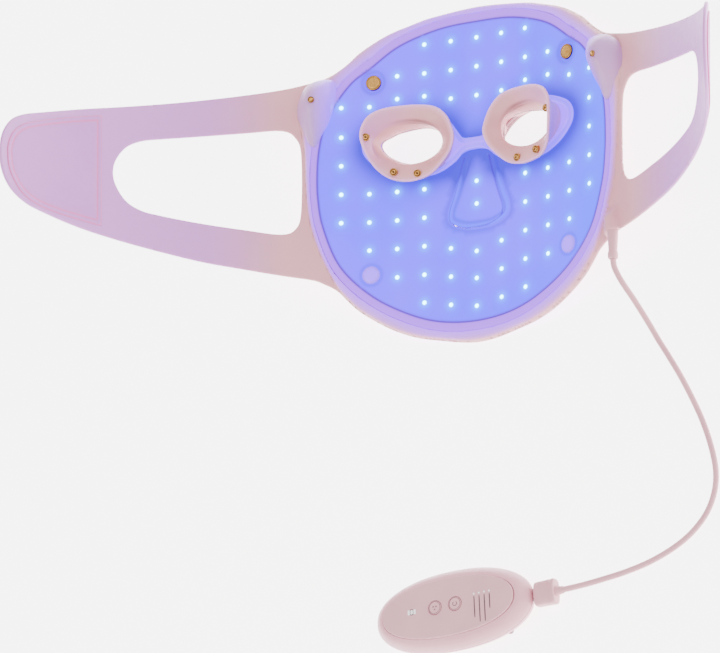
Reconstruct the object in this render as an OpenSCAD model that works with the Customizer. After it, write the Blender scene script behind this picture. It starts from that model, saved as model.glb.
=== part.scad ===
// Light-therapy face mask with an eye massager module and a wired remote.
// The mask lies on its back on the table with its face side up: +X across the face,
// +Y towards the forehead, +Z away from the table. Mask and straps are one sheet bent
// on a cylinder whose axis runs along Y. A place on the sheet is (u, v, h): u is the arc
// length across the face, v is the distance towards the forehead and h is the height
// above the table-side surface.

/* [Sheet] */
// Radius of the face side of the light panel
face_r = 240; // [230:1:260]
// Height of the panel's face side above the table-side surface
face_h = 6; // [5.5:0.1:7]
// Thickness of the silicone sheet in the cover's field and in the straps
sheet_t = 2; // [1.6:0.1:2.2]
// Height of the silicone rim that frames the light panel
rim_h = 5.6; // [5:0.1:6]
// Distance from the origin to the middle of the mask along Y
mask_y = 92; // [90:1:96]

/* [Light panel] */
// Thickness of the translucent panel
panel_t = 2.4; // [2:0.1:2.6]
// Pitch of the light columns across the face
led_pitch = 16.5; // [16:0.1:17]
// Width of one light chip
led_w = 2.2; // [1.6:0.1:2.8]
// Width of the slot around the nose flap
slot_w = 1.1; // [1:0.1:1.4]

/* [Eye cups] */
// Width of the cup's rim
cup_w = 55.6; // [54:0.1:57]
// Height of the cup's rim
cup_h = 44.8; // [44:0.1:46]
// Tilt of the rim towards the nose, in degrees
cup_tilt = 15.7; // [14:0.1:17]
// Tilt of the rim towards the chin, in degrees
cup_pitch = 10; // [8:0.5:12]
// Diameter of a massage contact
contact_d = 4.6; // [4:0.1:5]

/* [Cable] */
// Diameter of the cable
cable_d = 3.5; // [3:0.1:3.8]
// Diameter of the gland at the rim
gland_d = 6.3; // [6:0.1:6.8]

/* [Remote] */
// Length of the remote
remote_l = 100; // [96:1:104]
// Width of the remote
remote_w = 47; // [45:1:50]
// Turn of the remote on the table, in degrees
remote_turn = 3; // [0:1:4]
// Diameter of a button
button_d = 8; // [7:0.5:8.5]

/* [Hidden] */

$fn = 48;
sheet_fn = 360;
back_r = face_r + face_h;
gap = 0.05;
move_gap = 0.3;
far = 400;

// Places on the sheet
function turn_of(u) = u / face_r * 180 / PI;
function across(u, lean = 0) = (back_r - 3) * sin(turn_of(u) - lean);

// Closed curve through hand-set points
function curve(p, i, t) = let (n = len(p), a = p[(i + n - 1) % n], b = p[i],
        c = p[(i + 1) % n], d = p[(i + 2) % n])
    0.5 * (2 * b + (c - a) * t + (2 * a - 5 * b + 4 * c - d) * t * t
        + (3 * b - a - 3 * c + d) * t * t * t);
function smooth(p, n = 3) = [for (i = [0:len(p) - 1]) for (k = [0:n - 1]) curve(p, i, k / n)];
// The right half of an outline, from the top to the bottom, completed on the left
function both(p) = concat(p, [for (i = [len(p) - 1:-1:0]) if (p[i].x > 0) [-p[i].x, p[i].y]]);
function grow(p, su, sv) = [for (q = p) [q.x * su, q.y * sv]];

// Outlines in (u, v)
cover_half = [[0, 100.5], [28, 98], [43, 94.3], [57, 89.5], [71.5, 81], [78.5, 75],
    [85.5, 69.5], [92.4, 66], [99.3, 64], [115, 60.3], [130, 57.5], [130, -49.5],
    [115, -51.9], [99.3, -54.6], [92.4, -57.5], [85.5, -61.5], [78.5, -69], [71.5, -75.5],
    [57, -85], [43, -91.5], [28, -95.5], [0, -100]];
rim_half = [[0, 100.3], [28, 97.8], [43, 94.1], [57, 89.3], [71.5, 80.8], [80, 73.3],
    [90, 66.3], [100, 60.5], [107, 52.5], [109.5, 43], [107, 33], [104, 22], [103.4, 8],
    [103, -4], [101.5, -18], [98, -32], [92.5, -46], [85.2, -60], [78, -68.7],
    [71.2, -75.3], [57, -84.8], [43, -91.3], [28, -95.3], [0, -99.8]];
line_half = [[0, 90.5], [24, 89], [48, 81.5], [66, 69], [76.3, 61.5], [86, 49],
    [92, 37], [95.3, 23], [96.5, 8], [96, -8], [93, -25], [83.5, -48], [66, -66],
    [45, -78.5], [24, -86], [0, -88.5]];
window_half = [[106, 20], [109, 30.5], [117, 35.2], [138, 33.6], [161, 31], [185, 27.7],
    [197, 25.4], [206, 20.8], [212, 12.8], [213.8, 5], [212, -2.7], [206, -11.2],
    [197, -16], [185, -18.2], [161, -21.4], [138, -24.2], [117, -26.8], [109, -23.5],
    [106, -13]];
strap_half = [[100, 63.8], [115, 60.3], [138, 56.5], [161, 52.8], [185, 48.9], [209, 44.9],
    [234, 40.4], [260, 34.4], [272, 31], [280, 26.2], [285.6, 17.5], [287.4, 6], [285.6, -5],
    [279.5, -14.6], [269.5, -21.2], [258, -24.9], [234, -30.8], [209, -35.6], [185, -40],
    [161, -44.5], [138, -48], [115, -51.9], [100, -54.6]];
pad_half = [[223, 37.9], [240, 34.6], [260, 29.4], [272, 25], [279, 19], [282.3, 11.5],
    [282.7, 5.3], [281, -4.3], [274, -14.6], [264.5, -20.4], [251.6, -23.8], [237, -26],
    [223, -28], [221, -25], [220.8, -15], [220.8, 5], [220.8, 25], [221, 34.5]];
flap_half = [[0, 7.4], [7, 7.4], [9.5, 0], [13, -12], [16.3, -22], [15.5, -28],
    [8, -31.5], [0, -32.2]];
flange_half = [[17.5, 33], [26, 37.2], [38, 38.4], [50, 37.2], [59, 34.3], [65.8, 30.7],
    [69.6, 25.8], [70.2, 20.6], [68.2, 15.8], [62.8, 10.2], [56.4, 6], [48, 2.6], [37, 1],
    [27.5, 1.6], [21.6, 3.2], [17.4, 5.2], [12.3, 9], [8.8, 13], [8.8, 21], [12.6, 27]];
cup_base_half = [[15.5, 28.5], [23, 34.2], [36, 36], [48, 34.6], [56.5, 30.6], [60.5, 24],
    [59.8, 17], [55, 10.5], [47, 5.4], [37, 3.4], [28, 3.6], [20, 6.6], [15, 12], [13.4, 20]];
// Opening of the eye module, upright: across and towards the forehead
opening = [[20, 14.4], [19.4, 18.8], [19.2, 23.4], [20.6, 27.2], [25, 29.1], [31.2, 29.9],
    [37.5, 29.7], [43.3, 28.9], [47.5, 28.1], [52, 26.2], [56.5, 24], [57.2, 20.5],
    [53.6, 15.6], [48, 12], [42.6, 9.8], [37.5, 8.7], [31.6, 8.4], [27, 8.7], [23.4, 10.8]];
// Opening of the mask behind it
mask_opening = [[15, 13.5], [14.6, 17.5], [17.2, 21.9], [20.1, 25.4], [25, 29], [30.2, 31.1],
    [35.3, 32.1], [41, 32.4], [48, 31.8], [55, 30], [60, 27.6], [61.8, 23.5], [60.6, 18.5],
    [56.5, 13], [49, 8.6], [40, 6.6], [31, 6.2], [22, 7.6], [17.4, 9.9]];

// Lights: (column, distances along v), the column's arc is its number times led_pitch
led_rows = [[0, [80.75, 63.4, 46.1, -47.1, -63.2, -79.8]],
    [1, [80.75, 63.4, 46.3, -43.3, -60.2, -77]],
    [2, [80.75, 63.4, 49.7, -6, -23.1, -40.1, -57.1, -73.8]],
    [3, [63.4, 49.7, -6, -23.1, -40.1, -57.1]],
    [4, [46.2, -6, -23, -39.8]],
    [5, [46.6, 28.8, 11.7, -5.4, -22.4]]];
flap_leds = [-5.2, -18.8];
led_spots = [for (row = led_rows) for (v = row[1]) for (s = row[0] == 0 ? [1] : [-1, 1])
    [s * row[0] * led_pitch, v]];

// Layers above the table-side surface
board_h0 = sheet_t + 0.3;
board_h1 = board_h0 + 0.6;
chip_h = 0.55;
panel_h0 = face_h - panel_t;
flange_h0 = face_h + move_gap;
flange_h1 = flange_h0 + 2;
line_depth = 0.4;

// Fixtures on the panel, (u, v)
electrode_at = [63.7, 60.6];
electrode_d = 9;
cheek_at = [65, -54.5];
cheek_d = 10.6;
stud_at = [99, 49];
stud_d = 4;
pin_spots = [[65.8, 22], [10.8, 18.5]];
pin_d = 1.6;

// Eye cups
cup_x = 36.2;
cup_y = 19.2;
cup_z = face_h + 16.8;
eye_mid = [37.5, 19.5];
lip_w = 1.5;
bowl_depth = 6;
bowl_size = [41.5, 25];
// Places of the temple, outer and inner contact on the rim's plane, and their depth
contacts = [[23.5, 4, -0.8], [9.3, -16.6, -2.4], [-5, -18.2, -2.2]];

// Joints of the straps and the nose flap
root_u = 114;
fold_u = 219;
nose_v = 8.6;

// Cable gland and route of the cable, in the frame of the whole part
gland_u = 100;
gland_h = 3.4;
gland_v0 = -50;
gland_v1 = -71;
cable_low = cable_d / 2;
cable_route = [[98.2, 21, 24.1], [98.8, 16.5, 23.7], [100.7, 11, 22.1], [103.4, 5, 19.3],
    [106.2, -1, 15.3], [109, -8, 10.4], [112.3, -16, 5.8], [116.5, -25, 2.9],
    [122, -34.3, 1.9], [130, -48, cable_low], [138, -63.5, cable_low],
    [144, -77, cable_low], [149, -92, cable_low], [151.7, -106, cable_low],
    [150.8, -118, cable_low], [146, -129.5, cable_low], [137, -139.5, cable_low],
    [125, -147.3, cable_low], [109.5, -153.6, 1.8], [94, -157.6, 2.2],
    [81, -160.5, 4.3], [69, -163.2, 7.3], [56.9, -164.4, 8]];
cable_rings = 3;
cable_sides = 8;

// Remote
remote_at = [-12, -168];
remote_h = 20;
split_z = 9.5;
wall = 1.8;
face_l = 85;
face_w = 34.5;
face_t = 1;
plug_z = 8;
plug_s = [51.2, 64.4, 69];
button_s = [4.9, -8.1];
button_t = 1;
press = 0.4;

silicone = [0.84, 0.72, 0.76];
strap_colour = [0.81, 0.70, 0.80];
glow = [0.58, 0.59, 1];
purple = [0.72, 0.62, 0.94];
cup_colour = [0.85, 0.72, 0.74];
gold = [0.76, 0.57, 0.30];
pink = [0.84, 0.73, 0.76];
board_green = [0.92, 0.92, 0.88];

// ---- sheet helpers ----
module on_sheet(u, v, h = 0) {
    translate([0, mask_y, back_r]) rotate([0, -turn_of(u), 0]) translate([0, v, h - back_r])
        children();
}
module layer(h0, h1) {
    translate([0, mask_y, back_r]) rotate([90, 0, 0]) difference() {
        cylinder(r = back_r - h0, h = far, center = true, $fn = sheet_fn);
        cylinder(r = back_r - h1, h = far + 2, center = true, $fn = sheet_fn);
    }
}
// Prism of a (u, v) outline that runs through the sheet at a lean about the cylinder's axis
module prism(outline, lean = 0) {
    points = [for (q = outline) [across(q.x, lean), q.y]];
    translate([0, mask_y, back_r]) rotate([0, -lean, 0]) translate([0, 0, -back_r - 20])
        linear_extrude(height = 100) polygon(points);
}
module slab(outline, h0, h1, lean = 0) {
    intersection() {
        layer(h0, h1);
        prism(outline, lean);
    }
}
// Everything beyond the plane through the cylinder's axis at u, on the +u side
module beyond(u) {
    translate([0, mask_y, back_r]) rotate([0, -turn_of(u), 0])
        translate([0, -far / 2, -far]) cube([far, far, far]);
}
module on_side(side) {
    if (side > 0) children();
    else mirror([1, 0, 0]) children();
}
function on_left(p) = [for (q = p) [-q.x, q.y]];

// Opening of the eye module
module eye_hole(side) {
    on_side(side) translate([0, mask_y, -5]) linear_extrude(height = 60)
        polygon(smooth(opening));
}
// Opening of the mask behind an eye cup, grown from its middle
module mask_hole(side, k = 1) {
    on_side(side) translate([0, mask_y, -5]) linear_extrude(height = 60)
        polygon([for (q = smooth(mask_opening)) eye_mid + (q - eye_mid) * k]);
}

// ---- mask body ----
module gland_axis(v0, v1) {
    on_sheet(gland_u, v0, gland_h) rotate([90, 0, 0]) cylinder(d = gland_d, h = v0 - v1);
}
module board_tail(extra) {
    slab(smooth([[78 - extra, -36 + extra], [88, -40 + extra], [99 + extra, -45.5 + extra],
        [99 + extra, -49.5 - extra], [86, -48 - extra], [76 - extra, -44 - extra]], 2),
        board_h0 - extra, board_h1 + extra);
}
module outer_cover() {
    color(silicone) difference() {
        union() {
            difference() {
                slab(smooth(both(cover_half)), 0, sheet_t);
                for (s = [-1, 1]) on_side(s) prism(smooth(window_half));
            }
            difference() {
                slab(smooth(both(rim_half)), sheet_t - 0.5, rim_h);
                prism(grow(smooth(both(line_half)), 1.045, 1.062));
            }
            on_sheet(gland_u, -40, gland_h) rotate([90, 0, 0]) cylinder(d = 9.6, h = 16);
        }
        for (s = [-1, 1]) {
            on_side(s) beyond(root_u - 1.4);
            mask_hole(s);
        }
        prism(grow_flap(slot_w));
        gland_axis(gland_v0 + 1, gland_v1);
        board_tail(0.2);
        table_cut();
    }
}
// Removes what would reach outside the sheet's table-side surface
module table_cut() {
    translate([0, mask_y, back_r]) rotate([90, 0, 0]) difference() {
        cylinder(r = back_r + 20, h = far, center = true, $fn = sheet_fn);
        cylinder(r = back_r, h = far + 2, center = true, $fn = sheet_fn);
    }
}
function grow_flap(d) = smooth(both([[0, nose_v + d - 0.1], [7.6 + d, nose_v + d - 0.1],
    [10 + d, 0], [13.3 + d, -12], [16.6 + d, -22], [15.8 + d, -28.6],
    [8.4 + d / 2, -31.8 - d], [0, -32.4 - d]]));

module flex_board() {
    color(board_green) difference() {
        union() {
            slab(grow(smooth(both(line_half)), 1.01, 1.01), board_h0, board_h1);
            board_tail(0);
        }
        for (s = [-1, 1]) mask_hole(s, 1.07);
        prism(grow_flap(slot_w + 1));
    }
}
module led_chips() {
    color("white") for (q = led_spots) on_sheet(q.x, q.y, board_h1 + gap)
        translate([-led_w / 2, -led_w / 2, 0]) cube([led_w, led_w, chip_h]);
}
module light_panel() {
    color(glow) difference() {
        slab(grow(smooth(both(line_half)), 1.041, 1.058), panel_h0, face_h);
        difference() {
            slab(grow(smooth(both(line_half)), 1.006, 1.007), face_h - line_depth, face_h + 1);
            prism(grow(smooth(both(line_half)), 0.998, 0.998));
        }
        for (s = [-1, 1]) {
            mask_hole(s);
            on_sheet(s * electrode_at.x, electrode_at.y, 0) cylinder(d = electrode_d + 0.2, h = 12);
            on_sheet(s * cheek_at.x, cheek_at.y, 0) cylinder(d = cheek_d + 0.2, h = 12);
            for (q = pin_spots) on_side(s) pin(q, pin_d + 2 * move_gap);
        }
        prism(grow_flap(slot_w));
    }
}
module forehead_electrode(side) {
    color(gold) on_sheet(side * electrode_at.x, electrode_at.y, board_h1 + gap) {
        cylinder(d = electrode_d, h = face_h + 0.5 - board_h1);
    }
}
module cheek_pad(side) {
    color(purple) on_sheet(side * cheek_at.x, cheek_at.y, board_h1 + 2 * gap) {
        cylinder(d = cheek_d, h = face_h + 0.4 - board_h1);
        translate([0, 0, face_h + 0.4 - board_h1])
            cylinder(d1 = cheek_d - 1.6, d2 = cheek_d - 3.6, h = 0.8, $fn = 60);
    }
}
module temple_pad(side) {
    color([0.80, 0.74, 0.84]) difference() {
        intersection() {
            hull() {
                for (q = [[97, 57.5, 6, 5], [94.5, 34.5, 6, 6], [99.3, 49.5, 6, 8.8], [98.6, 38, 6.5, 7.6]])
                    on_sheet(side * q[0], q[1], 4) sphere(r = q[2], $fn = 32);
                for (q = [[97.6, 50, 13.2, 4.2], [98, 41, 12, 4]])
                    on_sheet(side * q[0], q[1], q[2]) sphere(r = q[3], $fn = 32);
            }
            translate([0, mask_y, back_r]) rotate([90, 0, 0])
                cylinder(r = face_r - gap, h = far, center = true, $fn = sheet_fn);
        }
        on_sheet(side * stud_at.x, stud_at.y, 14) cylinder(d = stud_d + 0.1, h = 8);
    }
}
module temple_stud(side) {
    color(gold) on_sheet(side * stud_at.x, stud_at.y, 14.05) cylinder(d = stud_d, h = 4.2);
}

// ---- nose flap ----
module flap_layer(h0, h1, d = 0) {
    slab(smooth(both([for (q = flap_half) [q.x > 0 ? q.x - d : 0, q.y - d * sign(q.y + 10)]])),
        h0, h1);
}
module nose_flap_cover() {
    color(silicone) flap_layer(0, sheet_t);
}
module nose_flap_board() {
    color(board_green) flap_layer(board_h0, board_h1, 1.5);
}
module nose_flap_leds() {
    color("white") for (v = flap_leds) on_sheet(0, v, board_h1 + gap)
        translate([-led_w / 2, -led_w / 2, 0]) cube([led_w, led_w, chip_h]);
}
module nose_flap_panel() {
    color(glow) flap_layer(panel_h0, face_h);
}

// ---- eye module ----
module pin(q, d) {
    translate([across(q.x), mask_y + q.y, 0]) cylinder(d = d, h = 40);
}
module eye_frame() {
    color(purple) difference() {
        union() {
            for (s = [-1, 1]) slab(s > 0 ? smooth(flange_half) : smooth(on_left(flange_half)),
                flange_h0, flange_h1);
            slab([[-9.2, 22], [-4, 20.4], [4, 20.4], [9.2, 22], [9.2, 11.6], [4, 13.2],
                [-4, 13.2], [-9.2, 11.6]], flange_h0 + 0.5, flange_h1 + 1.2);
        }
        for (s = [-1, 1]) eye_hole(s);
    }
}
module rim_plane(side) {
    on_side(side) translate([cup_x, mask_y + cup_y, cup_z]) rotate([cup_pitch, -cup_tilt, 0])
        children();
}
// Oval plate of a rim's size, from an outline computed at each degree step
module oval(w, h, t) {
    linear_extrude(height = t) polygon([for (a = [0:10:350]) [w / 2 * cos(a), h / 2 * sin(a)]]);
}
module eye_cup(side) {
    color(cup_colour) difference() {
        intersection() {
            hull() {
                on_side(side) translate([0, mask_y, 2]) linear_extrude(height = 6)
                    polygon(smooth(cup_base_half, 2));
                rim_plane(side) translate([0, 0, -2]) oval(cup_w, cup_h, 0.8);
                rim_plane(side) oval(cup_w - lip_w, cup_h - lip_w, 0.3);
            }
            translate([0, mask_y, back_r]) rotate([90, 0, 0])
                cylinder(r = back_r - flange_h1 - gap, h = far, center = true, $fn = sheet_fn);
        }
        hull() {
            rim_plane(side) translate([0, 0, 0.2]) oval(cup_w - 2 * lip_w, cup_h - 2 * lip_w, 1);
            bowl_floor(side);
        }
        hull() {
            bowl_floor(side);
            on_side(side) translate([0, mask_y, 6]) linear_extrude(height = 0.5)
                polygon(smooth(opening));
        }
        for (c = contacts) rim_plane(side) translate([c.x, c.y, c.z - 2])
            cylinder(d = contact_d + 0.1, h = 6);
    }
}
module bowl_floor(side) {
    rim_plane(side) translate([eye_mid.x - cup_x, 0.3, -bowl_depth])
        oval(bowl_size.x, bowl_size.y, 0.2);
}
module eye_contact(side, i) {
    color(gold) rim_plane(side) translate([contacts[i].x, contacts[i].y, contacts[i].z - 1.9]) {
        cylinder(d = contact_d, h = 3.2);
        translate([0, 0, 3.2]) cylinder(d = contact_d - 1.6, h = 0.5);
    }
}
module eye_frame_pins() {
    color(gold) for (s = [-1, 1]) for (q = pin_spots) on_side(s) intersection() {
        pin(q, pin_d);
        layer(board_h1 + 0.2, flange_h0);
    }
}

// ---- straps, from the hinge lines outwards ----
module strap(side) {
    lean = turn_of((root_u + fold_u) / 2);
    color(strap_colour) on_side(side) {
        difference() {
            slab(smooth(strap_half), 0, sheet_t, lean);
            prism(smooth(window_half), lean);
            beyond(fold_u - 1.4);
            difference() {
                beyond(0);
                beyond(root_u);
            }
        }
        for (arm = [[36, 60], [-51.5, -28.2]]) on_sheet(root_u, arm[1], sheet_t / 2)
            rotate([90, 0, 0]) cylinder(d = sheet_t - 0.2, h = arm[1] - arm[0]);
    }
}
module strap_tip(side) {
    lean = turn_of((fold_u + 291) / 2);
    color(strap_colour) on_side(side) {
        difference() {
            slab(smooth(strap_half), 0, sheet_t, lean);
            difference() {
                beyond(0);
                beyond(fold_u);
            }
        }
        on_sheet(fold_u, 42.4, sheet_t / 2) rotate([90, 0, 0])
            cylinder(d = sheet_t - 0.2, h = 75.4);
    }
}
module tip_pad(side, h0, h1) {
    on_side(side) slab(smooth(pad_half), h0, h1, turn_of(255));
}
module hook_pad() {
    color([0.80, 0.68, 0.79]) tip_pad(-1, sheet_t + gap, sheet_t + 0.9);
}
module loop_pad() {
    color([0.80, 0.68, 0.79]) tip_pad(1, -0.9, -gap);
}

// ---- cable ----
function unit(a) = a / norm(a);
function route_at(p, i, t) = let (n = len(p), a = p[max(i - 1, 0)], b = p[i],
        c = p[min(i + 1, n - 1)], d = p[min(i + 2, n - 1)])
    0.5 * (2 * b + (c - a) * t + (2 * a - 5 * b + 4 * c - d) * t * t
        + (3 * b - a - 3 * c + d) * t * t * t);
function route(p, n) = concat([for (i = [0:len(p) - 2]) for (k = [0:n - 1])
    route_at(p, i, k / n)], [p[len(p) - 1]]);
module sweep(path, r, sides) {
    n = len(path);
    rings = [for (i = [0:n - 1]) let (t = unit(path[min(i + 1, n - 1)] - path[max(i - 1, 0)]),
            x = unit(cross(t, [0, 0, 1])), y = cross(x, t))
        for (k = [0:sides - 1]) path[i] + r * (cos(360 * k / sides) * x + sin(360 * k / sides) * y)];
    walls = [for (i = [0:n - 2]) for (k = [0:sides - 1]) let (a = i * sides + k,
            b = i * sides + (k + 1) % sides) [a, b, b + sides, a + sides]];
    polyhedron(rings, concat([[for (k = [sides - 1:-1:0]) k]], walls,
        [[for (k = [0:sides - 1]) (n - 1) * sides + k]]));
}
module cable_gland() {
    color(pink) intersection() {
        union() {
            on_sheet(gland_u, gland_v0, gland_h) rotate([90, 0, 0]) cylinder(d = gland_d - 0.1, h = 8);
            on_sheet(gland_u, gland_v0 - 8, gland_h) rotate([90, 0, 0])
                cylinder(d1 = gland_d - 0.1, d2 = cable_d + 1.2, h = gland_v0 - 8 - gland_v1, $fn = 60);
        }
        translate([0, mask_y, back_r]) rotate([90, 0, 0])
            cylinder(r = back_r, h = far, center = true, $fn = sheet_fn);
    }
}
module cable() {
    color(pink) sweep(route(cable_route, cable_rings), cable_d / 2, cable_sides);
}

// ---- remote, in its own axes: s along it, t across it ----
module on_remote(s = 0, t = 0, z = 0) {
    translate([remote_at.x, remote_at.y, 0]) rotate([0, 0, remote_turn]) translate([s, t, z])
        children();
}
function oval_points(a, b, step = 8) = [for (w = [0:step:360 - step])
    [a * sign(cos(w)) * pow(abs(cos(w)), 0.92), b * sign(sin(w)) * pow(abs(sin(w)), 0.92)]];
module ring_stack(rings, inset) {
    hull() for (q = rings) translate([0, 0, q[0]]) linear_extrude(height = 0.01)
        polygon(oval_points(remote_l / 2 - q[1] - inset, remote_w / 2 - q[1] * 0.9 - inset));
}
lower_rings = [[0, 8], [0.6, 6], [2.2, 3.4], [5, 1.1], [split_z - 0.05, 0]];
upper_rings = [[split_z + 0.05, 0], [12.5, 0.8], [15.5, 2.6], [17.6, 4.8], [remote_h - 1.2, 7]];
lower_inner = [[wall, 5.6], [4, 2.6], [split_z + 1, 0.6]];
upper_inner = [[split_z - 1, 0], [13, 1.6], [remote_h - 1.2 - wall, 6]];
screw_spots = [[-38, 0], [30, 15.2], [30, -15.2]];

module remote_lower_shell() {
    color(pink) on_remote() difference() {
        ring_stack(lower_rings, 0);
        ring_stack(lower_inner, wall);
        plug_space(0.15);
        socket_block(gap);
        for (q = screw_spots) translate([q.x, q.y, -1]) cylinder(d = 2.4, h = 12);
        for (q = screw_spots) translate([q.x, q.y, -1]) cylinder(d = 4.4, h = 1.9);
    }
}
module remote_upper_shell() {
    color(pink) on_remote() difference() {
        ring_stack(upper_rings, 0);
        ring_stack(upper_inner, wall);
        translate([0, 0, remote_h - 1.2 - 0.6]) linear_extrude(height = 4)
            polygon(oval_points(face_l / 2 + gap, face_w / 2 + gap));
        for (s = button_s) translate([s, button_t, 10]) cylinder(d = button_d + 0.5, h = 12);
        lens_shapes(0.05);
        window_shape(0.05);
        socket_block(gap);
        plug_space(0.15);
    }
}
module remote_face_panel() {
    color([0.87, 0.77, 0.80]) on_remote() difference() {
        translate([0, 0, remote_h - 1.2 - 0.55]) linear_extrude(height = face_t + 0.55)
            polygon(oval_points(face_l / 2, face_w / 2));
        for (s = button_s) translate([s, button_t, 10]) cylinder(d = button_d + 0.5, h = 12);
        lens_shapes(0.05);
        window_shape(0.05);
    }
}
// Opening of the socket in the shells, and the socket behind it
module plug_space(extra) {
    translate([40, 0, plug_z]) rotate([0, 90, 0]) linear_extrude(height = 20) offset_box(
        3.4 + 2 * extra, 9.4 + 2 * extra);
}
module offset_box(h, w) {
    square([h, w - h], center = true);
    for (s = [-1, 1]) translate([0, s * (w - h) / 2]) circle(d = h, $fn = 48);
}
module socket_block(extra) {
    translate([38.2 - extra, -5.2 - extra, plug_z - 2.3 - extra])
        cube([8.4 + 2 * extra, 10.4 + 2 * extra, 4.6 + 2 * extra]);
}
module remote_socket() {
    color("silver") on_remote() difference() {
        socket_block(0);
        translate([40, 0, plug_z]) rotate([0, 90, 0]) linear_extrude(height = 10)
            offset_box(3.1, 9.1);
    }
}
module remote_board() {
    color([0.2, 0.45, 0.3]) on_remote() translate([0, 0, 10.6]) linear_extrude(height = 1)
        polygon(oval_points(42, 16));
}
module battery_cell() {
    color([0.75, 0.76, 0.78]) on_remote() translate([-30, -13, 2.2]) cube([52, 26, 6.4]);
}
module switches() {
    color([0.15, 0.15, 0.16]) for (s = button_s) on_remote(s, button_t, 11.65) {
        translate([-2.6, -2.6, 0]) cube([5.2, 5.2, 1.2]);
        translate([0, 0, 1.2]) cylinder(d = 2.4, h = 0.5);
    }
}
module lens_shapes(extra) {
    for (i = [0:3]) translate([17.5 + i * 3.3, 4.4, 11]) cylinder(d = 1.2 + 2 * extra, h = 10);
}
module indicator_lenses() {
    color("white") on_remote() intersection() {
        lens_shapes(0);
        translate([0, 0, 11.65]) linear_extrude(height = remote_h - 0.2 + 0.15 - 11.65)
            square([80, 40], center = true);
    }
}
module window_shape(extra) {
    translate([-23 - 2.6 - extra, button_t - 1.4 - extra, 11])
        cube([5.2 + 2 * extra, 2.8 + 2 * extra, 10]);
}
module battery_window() {
    color("white") on_remote() intersection() {
        window_shape(0);
        translate([0, 0, 11.65]) linear_extrude(height = remote_h - 0.2 + 0.1 - 11.65)
            square([80, 40], center = true);
    }
}
module case_screws() {
    color("silver") for (q = screw_spots) on_remote(q.x, q.y, 0.3) {
        cylinder(d = 4.2, h = 0.55);
        cylinder(d = 2, h = 6);
    }
}
module button(s) {
    color([0.86, 0.76, 0.79]) on_remote(s, button_t, 0) {
        translate([0, 0, 13.4 + press]) cylinder(d = 3, h = 2);
        translate([0, 0, 14.4]) cylinder(d = button_d + 1.4, h = 1);
        translate([0, 0, 15]) cylinder(d = button_d, h = remote_h - 0.2 + 0.15 - 15);
    }
}

// ---- plug on the cable's end ----
module plug_housing() {
    color(pink) on_remote() difference() {
        hull() {
            translate([plug_s[0], 0, plug_z]) rotate([0, 90, 0]) linear_extrude(height = 0.6)
                offset_box(7.4, 13.6);
            translate([plug_s[0] + 1, 0, plug_z]) rotate([0, 90, 0])
                linear_extrude(height = plug_s[1] - plug_s[0] - 3) offset_box(9, 15);
            translate([plug_s[1] - 0.6, 0, plug_z]) rotate([0, 90, 0])
                linear_extrude(height = 0.6) offset_box(6.4, 11);
        }
        translate([plug_s[0] - 1, 0, plug_z]) rotate([0, 90, 0]) linear_extrude(height = 6)
            offset_box(2.5, 8.4);
    }
}
module plug_shell() {
    color("silver") on_remote() translate([plug_s[0] - 8.6, 0, plug_z]) rotate([0, 90, 0])
        linear_extrude(height = 13) difference() {
            offset_box(2.4, 8.3);
            offset_box(1.6, 7.5);
        }
}
module plug_relief() {
    color(pink) on_remote() translate([plug_s[1] + gap, 0, plug_z]) rotate([0, 90, 0])
        cylinder(d1 = 5.4, d2 = 4.3, h = plug_s[2] - plug_s[1] - gap, $fn = 60);
}

outer_cover();
flex_board();
led_chips();
light_panel();
forehead_electrode(-1);  // forehead_electrode_left
forehead_electrode(1);  // forehead_electrode_right
cheek_pad(-1);  // cheek_pad_left
cheek_pad(1);  // cheek_pad_right
temple_pad(-1);  // temple_pad_left
temple_pad(1);  // temple_pad_right
temple_stud(-1);  // temple_stud_left
temple_stud(1);  // temple_stud_right
nose_flap_cover();
nose_flap_board();
nose_flap_leds();
nose_flap_panel();
eye_frame();
eye_cup(-1);  // eye_cup_left
eye_cup(1);  // eye_cup_right
eye_frame_pins();
eye_contact(-1, 0);  // eye_contact_left_temple
eye_contact(-1, 1);  // eye_contact_left_outer
eye_contact(-1, 2);  // eye_contact_left_inner
eye_contact(1, 0);  // eye_contact_right_temple
eye_contact(1, 1);  // eye_contact_right_outer
eye_contact(1, 2);  // eye_contact_right_inner
strap(-1);  // strap_left
strap_tip(-1);  // strap_left_tip
hook_pad();
strap(1);  // strap_right
strap_tip(1);  // strap_right_tip
loop_pad();
cable_gland();
cable();
plug_relief();
plug_housing();
plug_shell();
remote_lower_shell();
remote_upper_shell();
remote_face_panel();
remote_socket();
remote_board();
battery_cell();
switches();
indicator_lenses();
battery_window();
case_screws();
button(button_s[0]);  // button_power
button(button_s[1]);  // button_mode
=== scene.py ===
"""Looks of the light-therapy mask with its eye massager module and remote.

Lengths are millimetres until a mesh is made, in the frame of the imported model. A place on
the bent sheet is (u, v, h): the arc across the face, the distance towards the forehead and
the height above the table-side surface.
"""
import math

import bpy
import numpy as np
from mathutils import Matrix, Vector
from mathutils.geometry import delaunay_2d_cdt
from mathutils.kdtree import KDTree


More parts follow.
